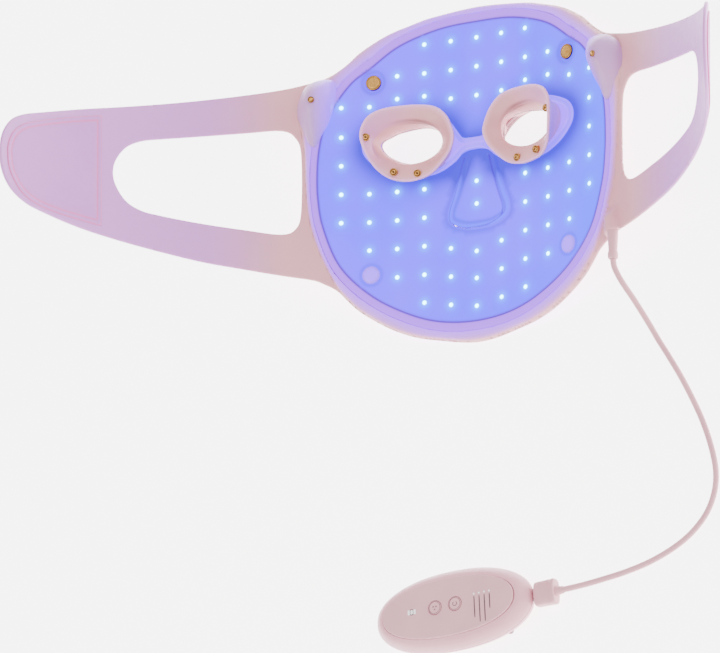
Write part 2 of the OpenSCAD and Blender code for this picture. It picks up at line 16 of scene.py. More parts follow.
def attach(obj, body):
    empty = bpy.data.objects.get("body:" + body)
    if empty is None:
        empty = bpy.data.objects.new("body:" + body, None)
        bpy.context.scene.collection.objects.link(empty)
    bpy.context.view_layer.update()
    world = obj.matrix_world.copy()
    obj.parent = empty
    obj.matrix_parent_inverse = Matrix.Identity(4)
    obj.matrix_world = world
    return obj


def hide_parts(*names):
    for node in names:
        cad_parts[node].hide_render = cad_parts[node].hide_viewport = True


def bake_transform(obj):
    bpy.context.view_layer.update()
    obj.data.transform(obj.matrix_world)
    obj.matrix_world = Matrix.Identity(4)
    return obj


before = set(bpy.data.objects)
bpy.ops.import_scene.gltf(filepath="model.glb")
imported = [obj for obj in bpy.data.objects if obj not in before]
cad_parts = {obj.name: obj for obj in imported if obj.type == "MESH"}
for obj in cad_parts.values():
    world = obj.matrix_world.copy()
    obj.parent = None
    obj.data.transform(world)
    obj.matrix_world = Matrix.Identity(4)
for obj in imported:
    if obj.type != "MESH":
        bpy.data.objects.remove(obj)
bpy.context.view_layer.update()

MM = 0.001

# Sheet, as in the part's source
FACE_R = 240.0
BACK_R = 246.0
MASK_Y = 92.0
SHEET_T = 2.0
RIM_H = 5.6
FACE_H = 6.0
PANEL_H0 = 3.6
FLANGE_H0 = 6.3
FLANGE_H1 = 8.3

SHEET_HALF = [
    [0, 100.5], [28, 98], [43, 94.3], [57, 89.5], [71.5, 81], [78.5, 75], [85.5, 69.5], [92.4, 66],
    [99.3, 64], [115, 60.3], [138, 56.5], [161, 52.8], [185, 48.9], [209, 44.9], [234, 40.4],
    [260, 34.4], [272, 31], [280, 26.2], [285.6, 17.5], [287.4, 6], [285.6, -5], [279.5, -14.6],
    [269.5, -21.2], [258, -24.9], [234, -30.8], [209, -35.6], [185, -40], [161, -44.5], [138, -48],
    [115, -51.9], [99.3, -54.6], [92.4, -57.5], [85.5, -61.5], [78.5, -69], [71.5, -75.5],
    [57, -85], [43, -91.5], [28, -95.5], [0, -100]]
RIM_HALF = [
    [0, 100.3], [28, 97.8], [43, 94.1], [57, 89.3], [71.5, 80.8], [80, 73.3], [90, 66.3],
    [100, 60.5], [105.6, 53], [107.7, 43], [105.8, 33], [104, 22], [103.4, 8], [103, -4],
    [101.5, -18], [98, -32], [92.5, -46], [85.2, -60], [78, -68.7], [71.2, -75.3], [57, -84.8],
    [43, -91.3], [28, -95.3], [0, -99.8]]
LINE_HALF = [
    [0, 90.5], [24, 89], [48, 81.5], [66, 69], [76.3, 61.5], [86, 49], [92, 37], [95.3, 23],
    [96.5, 8], [96, -8], [93, -25], [83.5, -48], [66, -66], [45, -78.5], [24, -86], [0, -88.5]]
WINDOW = [
    [106, 20], [109, 30.5], [117, 35.2], [138, 33.6], [161, 31], [185, 27.7], [197, 25.4],
    [206, 20.8], [212, 12.8], [213.8, 5], [212, -2.7], [206, -11.2], [197, -16], [185, -18.2],
    [161, -21.4], [138, -24.2], [117, -26.8], [109, -23.5], [106, -13]]
PAD = [
    [221, 38.2], [240, 34.6], [260, 29.4], [272, 25], [279, 19], [282.3, 11.5], [282.7, 5.3],
    [281, -4.3], [274, -14.6], [264.5, -20.4], [251.6, -23.8], [237, -26], [221, -28.2]]
# Middle line of the slot around the nose flap, from its upper end to its lowest point
SLOT_HALF = [
    [8, 9.3], [10.3, 0], [13.7, -12], [17, -22], [16.2, -28.3], [8.5, -32.2], [0, -32.85]]
SLOT_HALF_W = 0.15
FLANGE_HALF = [
    [0, 20.4], [4, 20.4], [8.6, 21.6], [12.6, 26.8], [17.5, 33], [26, 37.2], [38, 38.4], [50, 37.2],
    [59, 34.3], [65.8, 30.7], [69.6, 25.8], [70.2, 20.6], [68.2, 15.8], [62.8, 10.2], [56.4, 6],
    [48, 2.6], [37, 1], [27.5, 1.6], [21.6, 3.2], [17.4, 5.2], [12.5, 8.4], [8.6, 11.9], [4, 13.2],
    [0, 13.4]]
CUP_BASE = [
    [15.5, 28.5], [23, 34.2], [36, 36], [48, 34.6], [56.5, 30.6], [60.5, 24], [59.8, 17],
    [55, 10.5], [47, 5.4], [37, 3.4], [28, 3.6], [20, 6.6], [15, 12], [13.4, 20]]
# Opening of the eye module, upright: across and towards the forehead
OPENING = [
    [20, 14.4], [19.4, 18.8], [19.2, 23.4], [20.6, 27.2], [25, 29.1], [31.2, 29.9], [37.5, 29.7],
    [43.3, 28.9], [47.5, 28.1], [52, 26.2], [56.5, 24], [57.2, 20.5], [53.6, 15.6], [48, 12],
    [42.6, 9.8], [37.5, 8.7], [31.6, 8.4], [27, 8.7], [23.4, 10.8]]
# Opening of the mask behind it
MASK_OPENING = [
    [15, 13.5], [14.6, 17.5], [17.2, 21.9], [20.1, 25.4], [25, 29], [30.2, 31.1], [35.3, 32.1],
    [41, 32.4], [48, 31.8], [55, 30], [60, 27.6], [61.8, 23.5], [60.6, 18.5], [56.5, 13], [49, 8.6],
    [40, 6.6], [31, 6.2], [22, 7.6], [17.4, 9.9]]
# Lip of the right eye cup on its own plane, and its height above that plane
CUP_LIP = [
    [27.5, 3.6, 2.6], [26.6, 10.5, 1.4], [22.4, 16.6, 0.3], [14, 20.2, -0.6], [1, 21.4, -1.5],
    [-10, 21.1, -2.6], [-17.4, 19.2, -3.2], [-23.3, 13.9, -2], [-26.8, 6.4, 0], [-27.8, 0.5, 1.1],
    [-25.5, -7, 0.9], [-19.2, -14.8, 0], [-12.5, -20.2, -0.4], [-4, -22.8, -0.6], [4, -22.8, -1.8],
    [12.5, -20.2, -3.2], [19.5, -14.6, -1.2], [24.6, -6, 1.4]]
TEMPLE = [
    [86.8, 62.8], [92, 64], [98.5, 62.6], [104.3, 58.6], [107.2, 52.3], [108.2, 45.5], [106.6, 38],
    [103.6, 31], [101.5, 26], [98.5, 23.5], [95.8, 26], [93.6, 31], [90.4, 36.5], [88, 43],
    [86, 51], [85.6, 57.5]]

LED_PITCH = 16.5
LED_ROWS = [[0, [80.75, 63.4, 46.1, -47.1, -63.2, -79.8]],
            [1, [80.75, 63.4, 46.3, -43.3, -60.2, -77]],
            [2, [80.75, 63.4, 49.7, -6, -23.1, -40.1, -57.1, -73.8]],
            [3, [63.4, 49.7, -6, -23.1, -40.1, -57.1]],
            [4, [46.2, -6, -23, -39.8]],
            [5, [46.6, 28.8, 11.7, -5.4, -22.4]]]
FLAP_LEDS = [[0, -5.2], [0, -18.8]]

SPOT_R = 1.5
GROOVE_DEPTH, BEAD_HEIGHT = 0.55, 1.2

ELECTRODE_AT = [63.7, 60.6]
CHEEK_AT = [65, -54.5]
STUD_AT = [99, 49]
TEMPLE_RISE = 12.4

CUP_AT = [36.2, MASK_Y + 19.2, FACE_H + 16.8]
CUP_TILT, CUP_PITCH = 15.7, 10.0
CUP_FOOT_AT = [37.5, 19.2]
EYE_AT = [37.5, 18.8]
LIP_HALF_W, LIP_HALF_H = 27.6, 22.4
CREASE_DEPTH = 0.8
BOWL_W, BOWL_H, BOWL_DEPTH = 41.5, 25.0, 6.0
CONTACTS = {"temple": [23.9, 4, 0.6], "outer": [9.1, -16.8, -2.6], "inner": [-5.1, -18.6, -1.5]}

# Hinges of the straps, and the cuts between the skin's pieces
ROOT_U, FOLD_U = 114.0, 219.0
ROOT_CUT, TIP_CUT = 107.0, 190.0

# Route of the cable in metres, as in the part's source
CABLE_ROUTE = [
    (0.0982, 0.021, 0.0241), (0.0988, 0.0165, 0.0237), (0.1007, 0.011, 0.0221),
    (0.1034, 0.005, 0.0193), (0.1062, -0.001, 0.0153), (0.109, -0.008, 0.0104),
    (0.1123, -0.016, 0.0058), (0.1165, -0.025, 0.0029), (0.122, -0.0343, 0.0019),
    (0.13, -0.048, 0.00175), (0.138, -0.0635, 0.00175), (0.144, -0.077, 0.00175),
    (0.149, -0.092, 0.00175), (0.1517, -0.106, 0.00175), (0.1508, -0.118, 0.00175),
    (0.146, -0.1295, 0.00175), (0.137, -0.1395, 0.00175), (0.125, -0.1473, 0.00175),
    (0.1095, -0.1536, 0.0018), (0.094, -0.1576, 0.0022), (0.081, -0.1605, 0.0043),
    (0.069, -0.1632, 0.0073), (0.0569, -0.1644, 0.008)]
CABLE_D = 0.0035
GLAND_U, GLAND_H = 100.0, 3.4

REMOTE_AT = [-12.0, -168.0]
REMOTE_TURN = 3.0
REMOTE_L, REMOTE_W = 100.0, 47.0
FACE_L, FACE_W = 85.0, 34.5
FACE_TOP = 19.8
BUTTON_D = 8.0
BUTTONS = {"power": 4.9, "mode": -8.1}
BUTTON_T = 1.0
BUTTON_TOP = 19.8
PLUG_Z = 8.0
PLUG_S = [51.2, 64.4, 69.0]

SIDES = ((-1, "left"), (1, "right"))
# Painted shade: darker tone and weaker glow for the walls that are seen through the eye openings
HOLE_SHADE_TONE, HOLE_SHADE_GLOW = (0.36, 0.15, 0.18), (0.02, 0.01, 0.015)


def add_object(name, data):
    obj = bpy.data.objects.new(name, data)
    bpy.context.scene.collection.objects.link(obj)
    return obj


# ---- camera, light and floor ----
def aim_camera():
    """Camera along the photograph's line of sight, with a long lens."""
    right = Vector((0.8738, 0, -0.4863))
    up = Vector((0.1381, 0.9588, 0.2482))
    back = right.cross(up).normalized()
    width, lens, sensor = 0.4119, 1000.0, 36.0
    leftward, downward = 0.0667, 0.0884
    aim = Vector((0, MASK_Y * MM, FACE_H * MM)) - leftward * right - downward * up
    data = bpy.data.cameras.new("camera")
    data.lens, data.sensor_width = lens, sensor
    data.clip_start, data.clip_end = 1.0, 30.0
    camera = add_object("camera", data)
    place = Matrix((right, up, back)).transposed().to_4x4()
    place.translation = aim + back * width * lens / sensor
    camera.matrix_world = place
    bpy.context.scene.camera = camera


def soft_light(name, at, power):
    """Round soft light that faces the mask."""
    data = bpy.data.lights.new(name, "AREA")
    data.shape = "DISK"
    data.size, data.energy = 0.9, power
    lamp = add_object(name, data)
    lamp.location = at
    aim = Vector((0, 0.05, 0.03)) - Vector(at)
    lamp.rotation_euler = aim.to_track_quat("-Z", "Y").to_euler()


def light_studio():
    world = bpy.data.worlds.new("studio")
    world.use_nodes = True
    sky = world.node_tree.nodes["Background"].inputs
    sky["Color"].default_value = (1, 0.99, 0.985, 1)
    sky["Strength"].default_value = 1.55
    bpy.context.scene.world = world
    soft_light("key", (-0.5, -0.5, 1.3), 11)
    soft_light("fill", (1.0, 0.5, 1.1), 5)


def build_floor(mats):
    size, below = 6.0, -0.0003
    corners = [(x * size, y * size, below) for x, y in ((-1, -1), (1, -1), (1, 1), (-1, 1))]
    mesh = bpy.data.meshes.new("floor")
    mesh.from_pydata(corners, [], [(0, 1, 2, 3)])
    mesh.materials.append(mats["floor"])
    add_object("floor", mesh)


# ---- lines and areas in two dimensions ----
def spline(a, b, c, d, n):
    """Catmull-Rom curve from each b to its c, in n steps each."""
    t = (np.arange(n) / n)[:, None, None]
    q = 0.5 * (2 * b + (c - a) * t + (2 * a - 5 * b + 4 * c - d) * t * t
               + (3 * b - a - 3 * c + d) * t ** 3)
    return q.transpose(1, 0, 2).reshape(-1, q.shape[2])


def smooth(points, n=6):
    """Closed curve through the points, n steps between neighbours."""
    b = np.array(points, float)
    return spline(np.roll(b, 1, 0), b, np.roll(b, -1, 0), np.roll(b, -2, 0), n)


def smooth_open(points, n=5):
    """Open curve through the points."""
    p = np.array(points, float)
    p = np.vstack([2 * p[0] - p[1], p, 2 * p[-1] - p[-2]])
    return np.vstack([spline(p[:-3], p[1:-2], p[2:-1], p[3:], n), p[-2]])


def flipped(loop):
    """Mirror image of a loop, left for right, that runs the same way round."""
    return (np.asarray(loop) * [-1, 1])[::-1]


def spaced(line, size, closed=True):
    """The same line with its points evenly spaced."""
    p = np.vstack([line, line[:1]]) if closed else np.asarray(line, float)
    run = np.concatenate([[0], np.cumsum(lengths(np.diff(p, axis=0)))])
    count = max(int(round(run[-1] / size)), 3)
    at = np.linspace(0, run[-1], count + 1)
    q = np.stack([np.interp(at, run, p[:, k]) for k in range(p.shape[1])], 1)
    return q[:-1] if closed else q


def sideways(line, d, closed=True):
    """A line moved by d to the left of its own direction."""
    if closed:
        along = np.roll(line, -1, 0) - np.roll(line, 1, 0)
    else:
        along = np.gradient(line, axis=0)
    along = along / np.maximum(lengths(along)[:, None], 1e-9)
    return line + d * np.stack([-along[:, 1], along[:, 0]], 1)


def beside(line, *offsets):
    """Copies of a closed line, moved by each of the offsets."""
    return [sideways(line, d) for d in offsets]


def inside(points, loop):
    """Whether each point is inside a closed loop."""
    a, b = np.asarray(loop), np.roll(loop, -1, 0)
    rise = np.where(a[:, 1] == b[:, 1], 1e-12, b[:, 1] - a[:, 1])
    x, y = points[:, :1], points[:, 1:2]
    crossed = (a[:, 1] > y) != (b[:, 1] > y)
    at = a[:, 0] + (y - a[:, 1]) * (b[:, 0] - a[:, 0]) / rise
    return (crossed & (x < at)).sum(1) % 2 == 1


def distance(points, *loops, closed=True):
    """Distance from each point to the nearest of the lines."""
    best = np.full(len(points), 1e9)
    for line in loops:
        ends = np.roll(line, -1, 0) if closed else line[1:]
        for a, b in zip(line, ends):
            run = b - a
            t = unit((points - a) @ run / max(run @ run, 1e-12))
            best = np.minimum(best, lengths(points - a - t[:, None] * run))
    return best


def depth_in(points, loop):
    """Distance from a loop, positive inside it."""
    return distance(points, loop) * np.where(inside(points, loop), 1, -1)


def nearest(points, places):
    """Distance from each point to the nearest of some places."""
    return np.min(np.linalg.norm(points[:, None] - places[None], axis=2), 1)


def pair(at):
    """A place on the right side after its mirror image on the left."""
    return np.array([[side * at[0], at[1]] for side in (-1, 1)])


def turns(count):
    """Even steps around a circle, in radians."""
    return np.arange(count) * 2 * math.pi / count


def ellipse(w, a=1.0, b=None):
    """Points at the angles w of a circle of radius a, or of an ellipse with half widths a, b."""
    return np.stack([a * np.cos(w), (a if b is None else b) * np.sin(w)], 1)


def circle(at, radius, count=24):
    return at + ellipse(turns(count), radius)


def level_ring(radius, z, count):
    """A circle of points around the vertical axis at height z."""
    return np.column_stack([circle((0, 0), radius, count), np.full(count, z)])


def unit(x):
    return np.clip(x, 0, 1)


def lengths(rows):
    return np.linalg.norm(rows, axis=1)


def step(x, low, high):
    """Smooth step from 0 at low to 1 at high."""
    t = unit((np.asarray(x, float) - low) / (high - low))
    return t * t * (3 - 2 * t)


def hump(x, width):
    return np.exp(-(np.asarray(x) / width) ** 2)


def round_over(d, radius):
    """How far a rounded edge has dropped at distance d from it."""
    t = unit(1 - np.asarray(d) / radius)
    return radius * (1 - np.sqrt(1 - t * t))


class Area:
    """Triangles that fill an outline around its holes, with points where detail needs them."""

    def __init__(self, outline, holes=(), extra=(), cuts=(), grid=4.0, rings=(0.3, 0.8, 1.7)):
        self.loops = [np.asarray(outline), *[np.asarray(h) for h in holes]]
        free = self.ring_points(rings) + [self.clear(p, 0.12) for p in extra]
        detail = np.vstack(free)
        loose = self.clear(self.grid_points(grid), rings[-1] + grid * 0.3)
        tree = KDTree(len(detail))
        for i, p in enumerate(detail):
            tree.insert((p[0], p[1], 0), i)
        tree.balance()
        far = [tree.find((p[0], p[1], 0))[2] > grid * 0.5 for p in loose]
        self.fill(np.vstack([detail, loose[np.array(far, bool)]]), cuts)

    def holds(self, points):
        ok = inside(points, self.loops[0])
        for hole in self.loops[1:]:
            ok &= ~inside(points, hole)
        return ok

    def clear(self, points, least):
        points = points[self.holds(points)]
        return points[distance(points, *self.loops) > least]

    def ring_points(self, rings):
        found = []
        for loop in self.loops:
            for d in rings:
                both = np.vstack([sideways(loop, d), sideways(loop, -d)])
                found.append(self.clear(both, d * 0.85))
        return found

    def grid_points(self, size):
        low, high = self.loops[0].min(0), self.loops[0].max(0)
        rows = np.arange(low[1], high[1], size * 0.866)
        columns = np.arange(low[0], high[0], size)
        return np.array([[x + (i % 2) * size / 2, y] for i, y in enumerate(rows) for x in columns])

    def fill(self, free, cuts):
        points, edges = [], []
        for line, closed in [(p, True) for p in self.loops] + [(p, False) for p in cuts]:
            first = len(points)
            points += [Vector(p) for p in line]
            edges += [(first + i, first + i + 1) for i in range(len(line) - 1)]
            if closed:
                edges.append((len(points) - 1, first))
        points += [Vector(p) for p in free]
        found = delaunay_2d_cdt(points, edges, [], 0, 1e-5)
        self.points = np.array([list(p) for p in found[0]])
        faces = np.array([list(f) for f in found[2]])
        self.faces = faces[self.holds(self.points[faces].mean(1))]
        self.edge = distance(self.points, *self.loops)

    def part(self, test):
        """The faces whose middle passes the test."""
        middle = self.points[self.faces].mean(1)
        return self.faces[test(middle)]


# ---- meshes ----
def wrap(p, h):
    """Places on the bent sheet."""
    turn = p[:, 0] / FACE_R
    r = BACK_R - h
    return np.stack([r * np.sin(turn), MASK_Y + p[:, 1], BACK_R - r * np.cos(turn)], 1)


def on_remote(p, z):
    """Places on the remote, from its own axes."""
    c, s = math.cos(math.radians(REMOTE_TURN)), math.sin(math.radians(REMOTE_TURN))
    return np.stack([REMOTE_AT[0] + c * p[:, 0] - s * p[:, 1],
                     REMOTE_AT[1] + s * p[:, 0] + c * p[:, 1], z + 0 * p[:, 0]], 1)


def make(name, points, faces, material, sharp=(), **values):
    """An object from points in millimetres, with one attribute for each named value."""
    mesh = bpy.data.meshes.new(name)
    mesh.from_pydata((np.asarray(points) * MM).tolist(), [], faces)
    mesh.shade_smooth()
    if len(sharp):
        wanted = {tuple(sorted(e)) for e in sharp}
        marks = mesh.attributes.new("sharp_edge", "BOOLEAN", "EDGE")
        marks.data.foreach_set("value", [tuple(sorted(e.vertices)) in wanted for e in mesh.edges])
    for key, value in values.items():
        layer = mesh.attributes.new(key, "FLOAT", "POINT")
        layer.data.foreach_set("value", np.asarray(value, np.float32))
    mesh.materials.append(material)
    return add_object(name, mesh)


def plate(name, area, faces, top, bottom, material, place=wrap, **values):
    """A closed plate over some of an area's faces, between two heights."""
    top, bottom = (np.broadcast_to(h, len(area.points)) for h in (top, bottom))
    used, faces = np.unique(faces, return_inverse=True)
    faces = faces.reshape(-1, 3)
    p = area.points[used]
    a, b, c = (p[faces[:, k]] for k in range(3))
    turned = np.cross(b - a, c - a) < 0
    faces[turned] = faces[turned][:, ::-1]
    n = len(p)
    points = np.vstack([place(p, top[used]), place(p, bottom[used])])
    directed = {(f[i], f[(i + 1) % 3]) for f in faces.tolist() for i in range(3)}
    border = sorted(e for e in directed if (e[1], e[0]) not in directed)
    middle = np.array([(p[i] + p[j]) / 2 for i, j in border])
    seam = distance(middle, *area.loops) > 0.03
    walls = [(i, i + n, j + n, j) for i, j in border]
    sharp = [e for (i, j), s in zip(border, seam) if s for e in ((i, j), (i + n, j + n))]
    solid = faces.tolist() + (faces[:, ::-1] + n).tolist() + walls
    both = {k: np.tile(np.asarray(v)[used], 2) for k, v in values.items()}
    return make(name, points, solid, material, sharp, **both)


def loft(name, rings, material, ring_closed=False, **values):
    """Skin over rings of equal length. An open stack of rings is capped at its ends."""
    rings = np.asarray(rings, float)
    count, n = rings.shape[:2]
    faces = []
    for i in range(count if ring_closed else count - 1):
        j = (i + 1) % count
        faces += [(i * n + k, i * n + (k + 1) % n, j * n + (k + 1) % n, j * n + k)
                  for k in range(n)]
    if not ring_closed:
        faces.append(tuple(range(n))[::-1])
        faces.append(tuple((count - 1) * n + k for k in range(n)))
    return make(name, rings.reshape(-1, 3), faces, material, **values)


def sheet_place(side, at):
    """Axes on the sheet: across, towards the forehead and away from the back."""
    w = side * at[0] / FACE_R
    place = np.eye(4)
    place[:3, 0] = [math.cos(w), 0, math.sin(w)]
    place[:3, 2] = [-math.sin(w), 0, math.cos(w)]
    place[:3, 3] = [BACK_R * math.sin(w), MASK_Y + at[1], BACK_R - BACK_R * math.cos(w)]
    return place


def turn(axis, degrees):
    return np.array(Matrix.Rotation(math.radians(degrees), 4, axis))


def shift(x, y, z):
    place = np.eye(4)
    place[:3, 3] = [x, y, z]
    return place


def rim_place(side):
    """Axes of an eye cup's rim. The left one is the right one mirrored."""
    place = shift(*CUP_AT) @ turn("Y", -CUP_TILT) @ turn("X", CUP_PITCH)
    return np.diag([side, 1, 1, 1]) @ place


def moved(place, points):
    points = np.asarray(points, float)
    return points @ place[:3, :3].T + place[:3, 3]


def lathe(name, profile, place, material, sides=32, **values):
    """A turned piece. The profile is (radius, height) from its lower middle to its upper."""
    rings = [level_ring(r, z, sides) for r, z in profile]
    if np.linalg.det(place[:3, :3]) < 0:
        rings = [r[::-1] for r in rings]
    rings = [moved(place, r) for r in rings]
    spread = {k: np.repeat(v, sides) for k, v in values.items()}
    return loft(name, rings, material, **spread)


def rounded_disc(radius, low, high, edge):
    """Profile of a disc with a rounded upper edge."""
    foot = [(0.02, low), (radius * 0.6, low), (radius - 0.15, low), (radius, low + 0.15)]
    arc = [(radius - edge + edge * math.cos(a), high - edge + edge * math.sin(a))
           for a in np.linspace(0, math.pi / 2, 5)]
    return foot + arc + [((radius - edge) * f, high) for f in (0.75, 0.5, 0.25, 0.02)]


# ---- bodies and nodes ----
def settle(obj, nodes):
    if nodes:
        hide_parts(*nodes)
    return obj


def ride(obj, body, slot, *nodes):
    """A rigid piece attached to its body, and the nodes it stands for hidden; slot is not used."""
    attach(obj, body)
    return settle(obj, nodes)


def bend(obj, near, far, zone, slot, *nodes):
    """A piece between two bodies, left unattached with its placement baked into its mesh, and the
    nodes it stands for hidden; near, far, zone and slot are not used.
    """
    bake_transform(obj)
    return settle(obj, nodes)


# ---- materials ----
class Surface:
    """A Principled material that takes its colour, roughness and relief from nodes."""

    def __init__(self, name, **sockets):
        self.material = bpy.data.materials.new(name)
        self.material.use_nodes = True
        self.tree = self.material.node_tree
        self.shader = self.tree.nodes["Principled BSDF"]
        for socket, value in sockets.items():
            self.shader.inputs[socket.replace("_", " ")].default_value = value
        self.where = self.node("TexCoord").outputs["Object"]

    def node(self, kind, inputs=(), **settings):
        """A shader node with some of its inputs joined or set."""
        made = self.tree.nodes.new("ShaderNode" + kind)
        for key, value in settings.items():
            setattr(made, key, value)
        for key, source in dict(inputs).items():
            self.join(source, made.inputs[key])
        return made

    def join(self, source, target):
        if isinstance(source, bpy.types.NodeSocket):
            self.tree.links.new(source, target)
        elif isinstance(source, (tuple, list)):
            target.default_value = (*source, 1) if len(source) == 3 else source
        else:
            target.default_value = source

    def noise(self, size, detail=3):
        """Noise whose features are about size millimetres across."""
        inputs = {"Vector": self.where, "Scale": 1 / (size * MM), "Detail": detail}
        return self.node("TexNoise", inputs).outputs["Fac"]

    def value(self, name):
        return self.node("Attribute", attribute_name=name).outputs["Fac"]

    def between(self, fac, low, high, to_low=0.0, to_high=1.0):
        inputs = {"Value": fac, "From Min": low, "From Max": high, "To Min": to_low,
                  "To Max": to_high}
        return self.node("MapRange", inputs, interpolation_type="SMOOTHSTEP").outputs["Result"]

    def mix(self, fac, a, b):
        return self.node("Mix", {0: fac, 6: a, 7: b}, data_type="RGBA").outputs[2]

    def cloudy(self, size, a, b):
        """A tone that drifts between two colours over about size millimetres."""
        return self.mix(self.between(self.noise(size, 2), 0.35, 0.65), a, b)

    def tinted(self, tone, **tints):
        """A tone that goes to each given colour where the attribute of that name is 1."""
        for attribute, tint in tints.items():
            tone = self.mix(self.value(attribute), tone, tint)
        return tone

    def uneven(self, size, low, high):
        """Roughness that drifts between two values."""
        return self.between(self.noise(size), 0.3, 0.7, low, high)

    def relief(self, height, depth, strength, under=None):
        """Bump of a height signal, depth in millimetres, on top of another."""
        inputs = {"Height": height, "Distance": depth * MM, "Strength": strength}
        if under is not None:
            inputs["Normal"] = under
        return self.node("Bump", inputs).outputs["Normal"]

    def finish(self, colour, rough, normal, glow=None):
        for socket, source in (("Base Color", colour), ("Roughness", rough),
                               ("Normal", normal), ("Emission Color", glow)):
            if source is not None:
                self.join(source, self.shader.inputs[socket])
        return self.material


def soft_silicone(name, light, dark, rough=0.5, tints=None, lit=None, glow=None, strength=0.0):
    """Matt moulded silicone: cloudy tone, fine skin, a few tints and a painted glow by attribute;
    the glow and some tints stand in for the panel's light and for shade.
    """
    s = Surface(name, Subsurface_Weight=0.12, Subsurface_Scale=0.002, Coat_Weight=0.04,
                Coat_Roughness=0.35, Sheen_Weight=0.06, Sheen_Roughness=0.5,
                Emission_Strength=strength)
    s.shader.inputs["Subsurface Radius"].default_value = (1, 0.5, 0.6)
    tone = s.tinted(s.cloudy(34, dark, light), **(tints or {}))
    grain = s.noise(0.35, 2)
    tone = s.mix(s.between(grain, 0.3, 0.75, 0, 0.08), tone, light)
    wave = s.relief(s.noise(9, 2), 0.12, 0.25, s.relief(grain, 0.02, 0.35))
    emission = s.tinted((0, 0, 0), **{lit: glow}) if lit else None
    return s.finish(tone, s.uneven(5, rough - 0.06, rough + 0.08), wave, emission)


def pad_material(name, weave):
    """Closure fabric: fine loops or hooks over the strap's tone."""
    s = Surface(name, Sheen_Weight=0.4, Sheen_Roughness=0.4)
    cells = s.node("TexVoronoi", {"Vector": s.where, "Scale": 1 / (weave * MM)})
    tone = s.tinted(s.cloudy(40, (0.51, 0.19, 0.55), (0.53, 0.20, 0.56)), line=(0.68, 0.14, 0.36))
    fuzz = s.relief(cells.outputs["Distance"], 0.06, 0.3)
    return s.finish(tone, s.uneven(3, 0.68, 0.85), fuzz)


def panel_material():
    """Translucent light panel: violet-blue glow with bright spots over the lights."""
    s = Surface("glow_panel", Coat_Weight=0.15, Coat_Roughness=0.22, Specular_IOR_Level=0.2,
                Emission_Strength=1.0)
    # deep is painted shade round the eye module, the nose and the discs; azure holds a painted
    # highlight on the nose beads; line is a darker groove with painted shade along the slot; hole
    # is painted shade
    glow = s.tinted(s.cloudy(55, (0.12, 0.0, 4.0), (0.26, 0.0, 4.1)), azure=(0.0, 0.12, 4.0),
                    deep=(0.05, 0.0, 1.6), band=(0.55, 0.05, 2.0), line=(0.16, 0.0, 0.7),
                    halo=(0.0, 1.0, 5.0), core=(3.5, 14, 14), hole=HOLE_SHADE_GLOW)
    tone = s.tinted((0.03, 0.006, 0.16), band=(0.22, 0.08, 0.40), deep=(0.01, 0.002, 0.10),
                    hole=HOLE_SHADE_TONE)
    skin = s.relief(s.noise(0.5, 2), 0.015, 0.3)
    return s.finish(tone, s.uneven(4, 0.30, 0.44), skin, glow)


def frame_material():
    """Translucent lilac plastic of the eye module's flanges, with a painted glow of the panel's
    light that is weaker at its border and bridge, and painted shade in the openings.
    """
    s = Surface("eye_frame_plastic", Coat_Weight=0.3, Coat_Roughness=0.2,
                Subsurface_Weight=0.2, Subsurface_Scale=0.002, Emission_Strength=1.0)
    tone = s.tinted(s.cloudy(16, (0.34, 0.08, 0.66), (0.44, 0.12, 0.66)),
                    edge=(0.30, 0.09, 0.66), hole=HOLE_SHADE_TONE)
    glow = s.tinted((0.32, 0.02, 3.0), edge=(0.14, 0.01, 2.6), hole=HOLE_SHADE_GLOW)
    skin = s.relief(s.noise(0.5, 2), 0.012, 0.3)
    return s.finish(tone, s.uneven(3, 0.32, 0.45), skin, glow)


def cup_material():
    s = Surface("cup_silicone", Subsurface_Weight=0.15, Subsurface_Scale=0.002,
                Coat_Weight=0.08, Coat_Roughness=0.3, Sheen_Weight=0.12)
    s.shader.inputs["Subsurface Radius"].default_value = (1, 0.45, 0.5)
    # shade is painted shade on the bowl's nose side, lilac is painted violet light from the panel,
    # crease is painted shade in the fold
    tone = s.tinted(s.cloudy(20, (0.72, 0.31, 0.34), (0.76, 0.35, 0.37)),
                    shade=(0.42, 0.15, 0.18), lilac=(0.62, 0.24, 0.62), lip=(0.86, 0.42, 0.70),
                    crease=(0.30, 0.09, 0.11))
    skin = s.relief(s.noise(0.35, 2), 0.018, 0.35)
    return s.finish(tone, s.uneven(5, 0.40, 0.54), skin)


def metal_material(name, bright, dull, rough, turned=True):
    """Metal with a turned or rolled grain and a few stains; on turned pieces, painted shade from
    the attribute dark.
    """
    s = Surface(name, Metallic=1.0)
    tone = s.mix(s.between(s.noise(1.2, 4), 0.4, 0.7), bright, dull)
    if turned:
        # Painted shade where the attribute dark is set
        tone = s.tinted(tone, dark=(0.10, 0.045, 0.02))
    marks = s.relief(s.noise(0.12, 2), 0.008, 0.4)
    return s.finish(tone, s.uneven(0.8, rough - 0.08, rough + 0.12), marks)


def plastic_material(name, light, dark, rough, grain=0.25, gloss=0.1):
    """Moulded plastic with a spark-eroded grain."""
    s = Surface(name, Coat_Weight=gloss, Coat_Roughness=0.25)
    fine = s.noise(grain, 2)
    tone = s.mix(s.between(fine, 0.35, 0.75, 0, 0.1), s.cloudy(22, dark, light), light)
    skin = s.relief(fine, 0.015, 0.35)
    return s.finish(tone, s.uneven(4, rough - 0.05, rough + 0.07), skin)


def board_material(name, light, dark):
    """Circuit board: solder mask with tracks beneath it."""
    s = Surface(name, Coat_Weight=0.3, Coat_Roughness=0.2)
    tracks = s.node("TexBrick", {"Vector": s.where, "Scale": 160, "Mortar Size": 0.03,
                                 "Color1": light, "Color2": light, "Mortar": dark})
    return s.finish(tracks.outputs["Color"], s.uneven(6, 0.35, 0.5),
                    s.relief(tracks.outputs["Fac"], 0.04, 0.4))


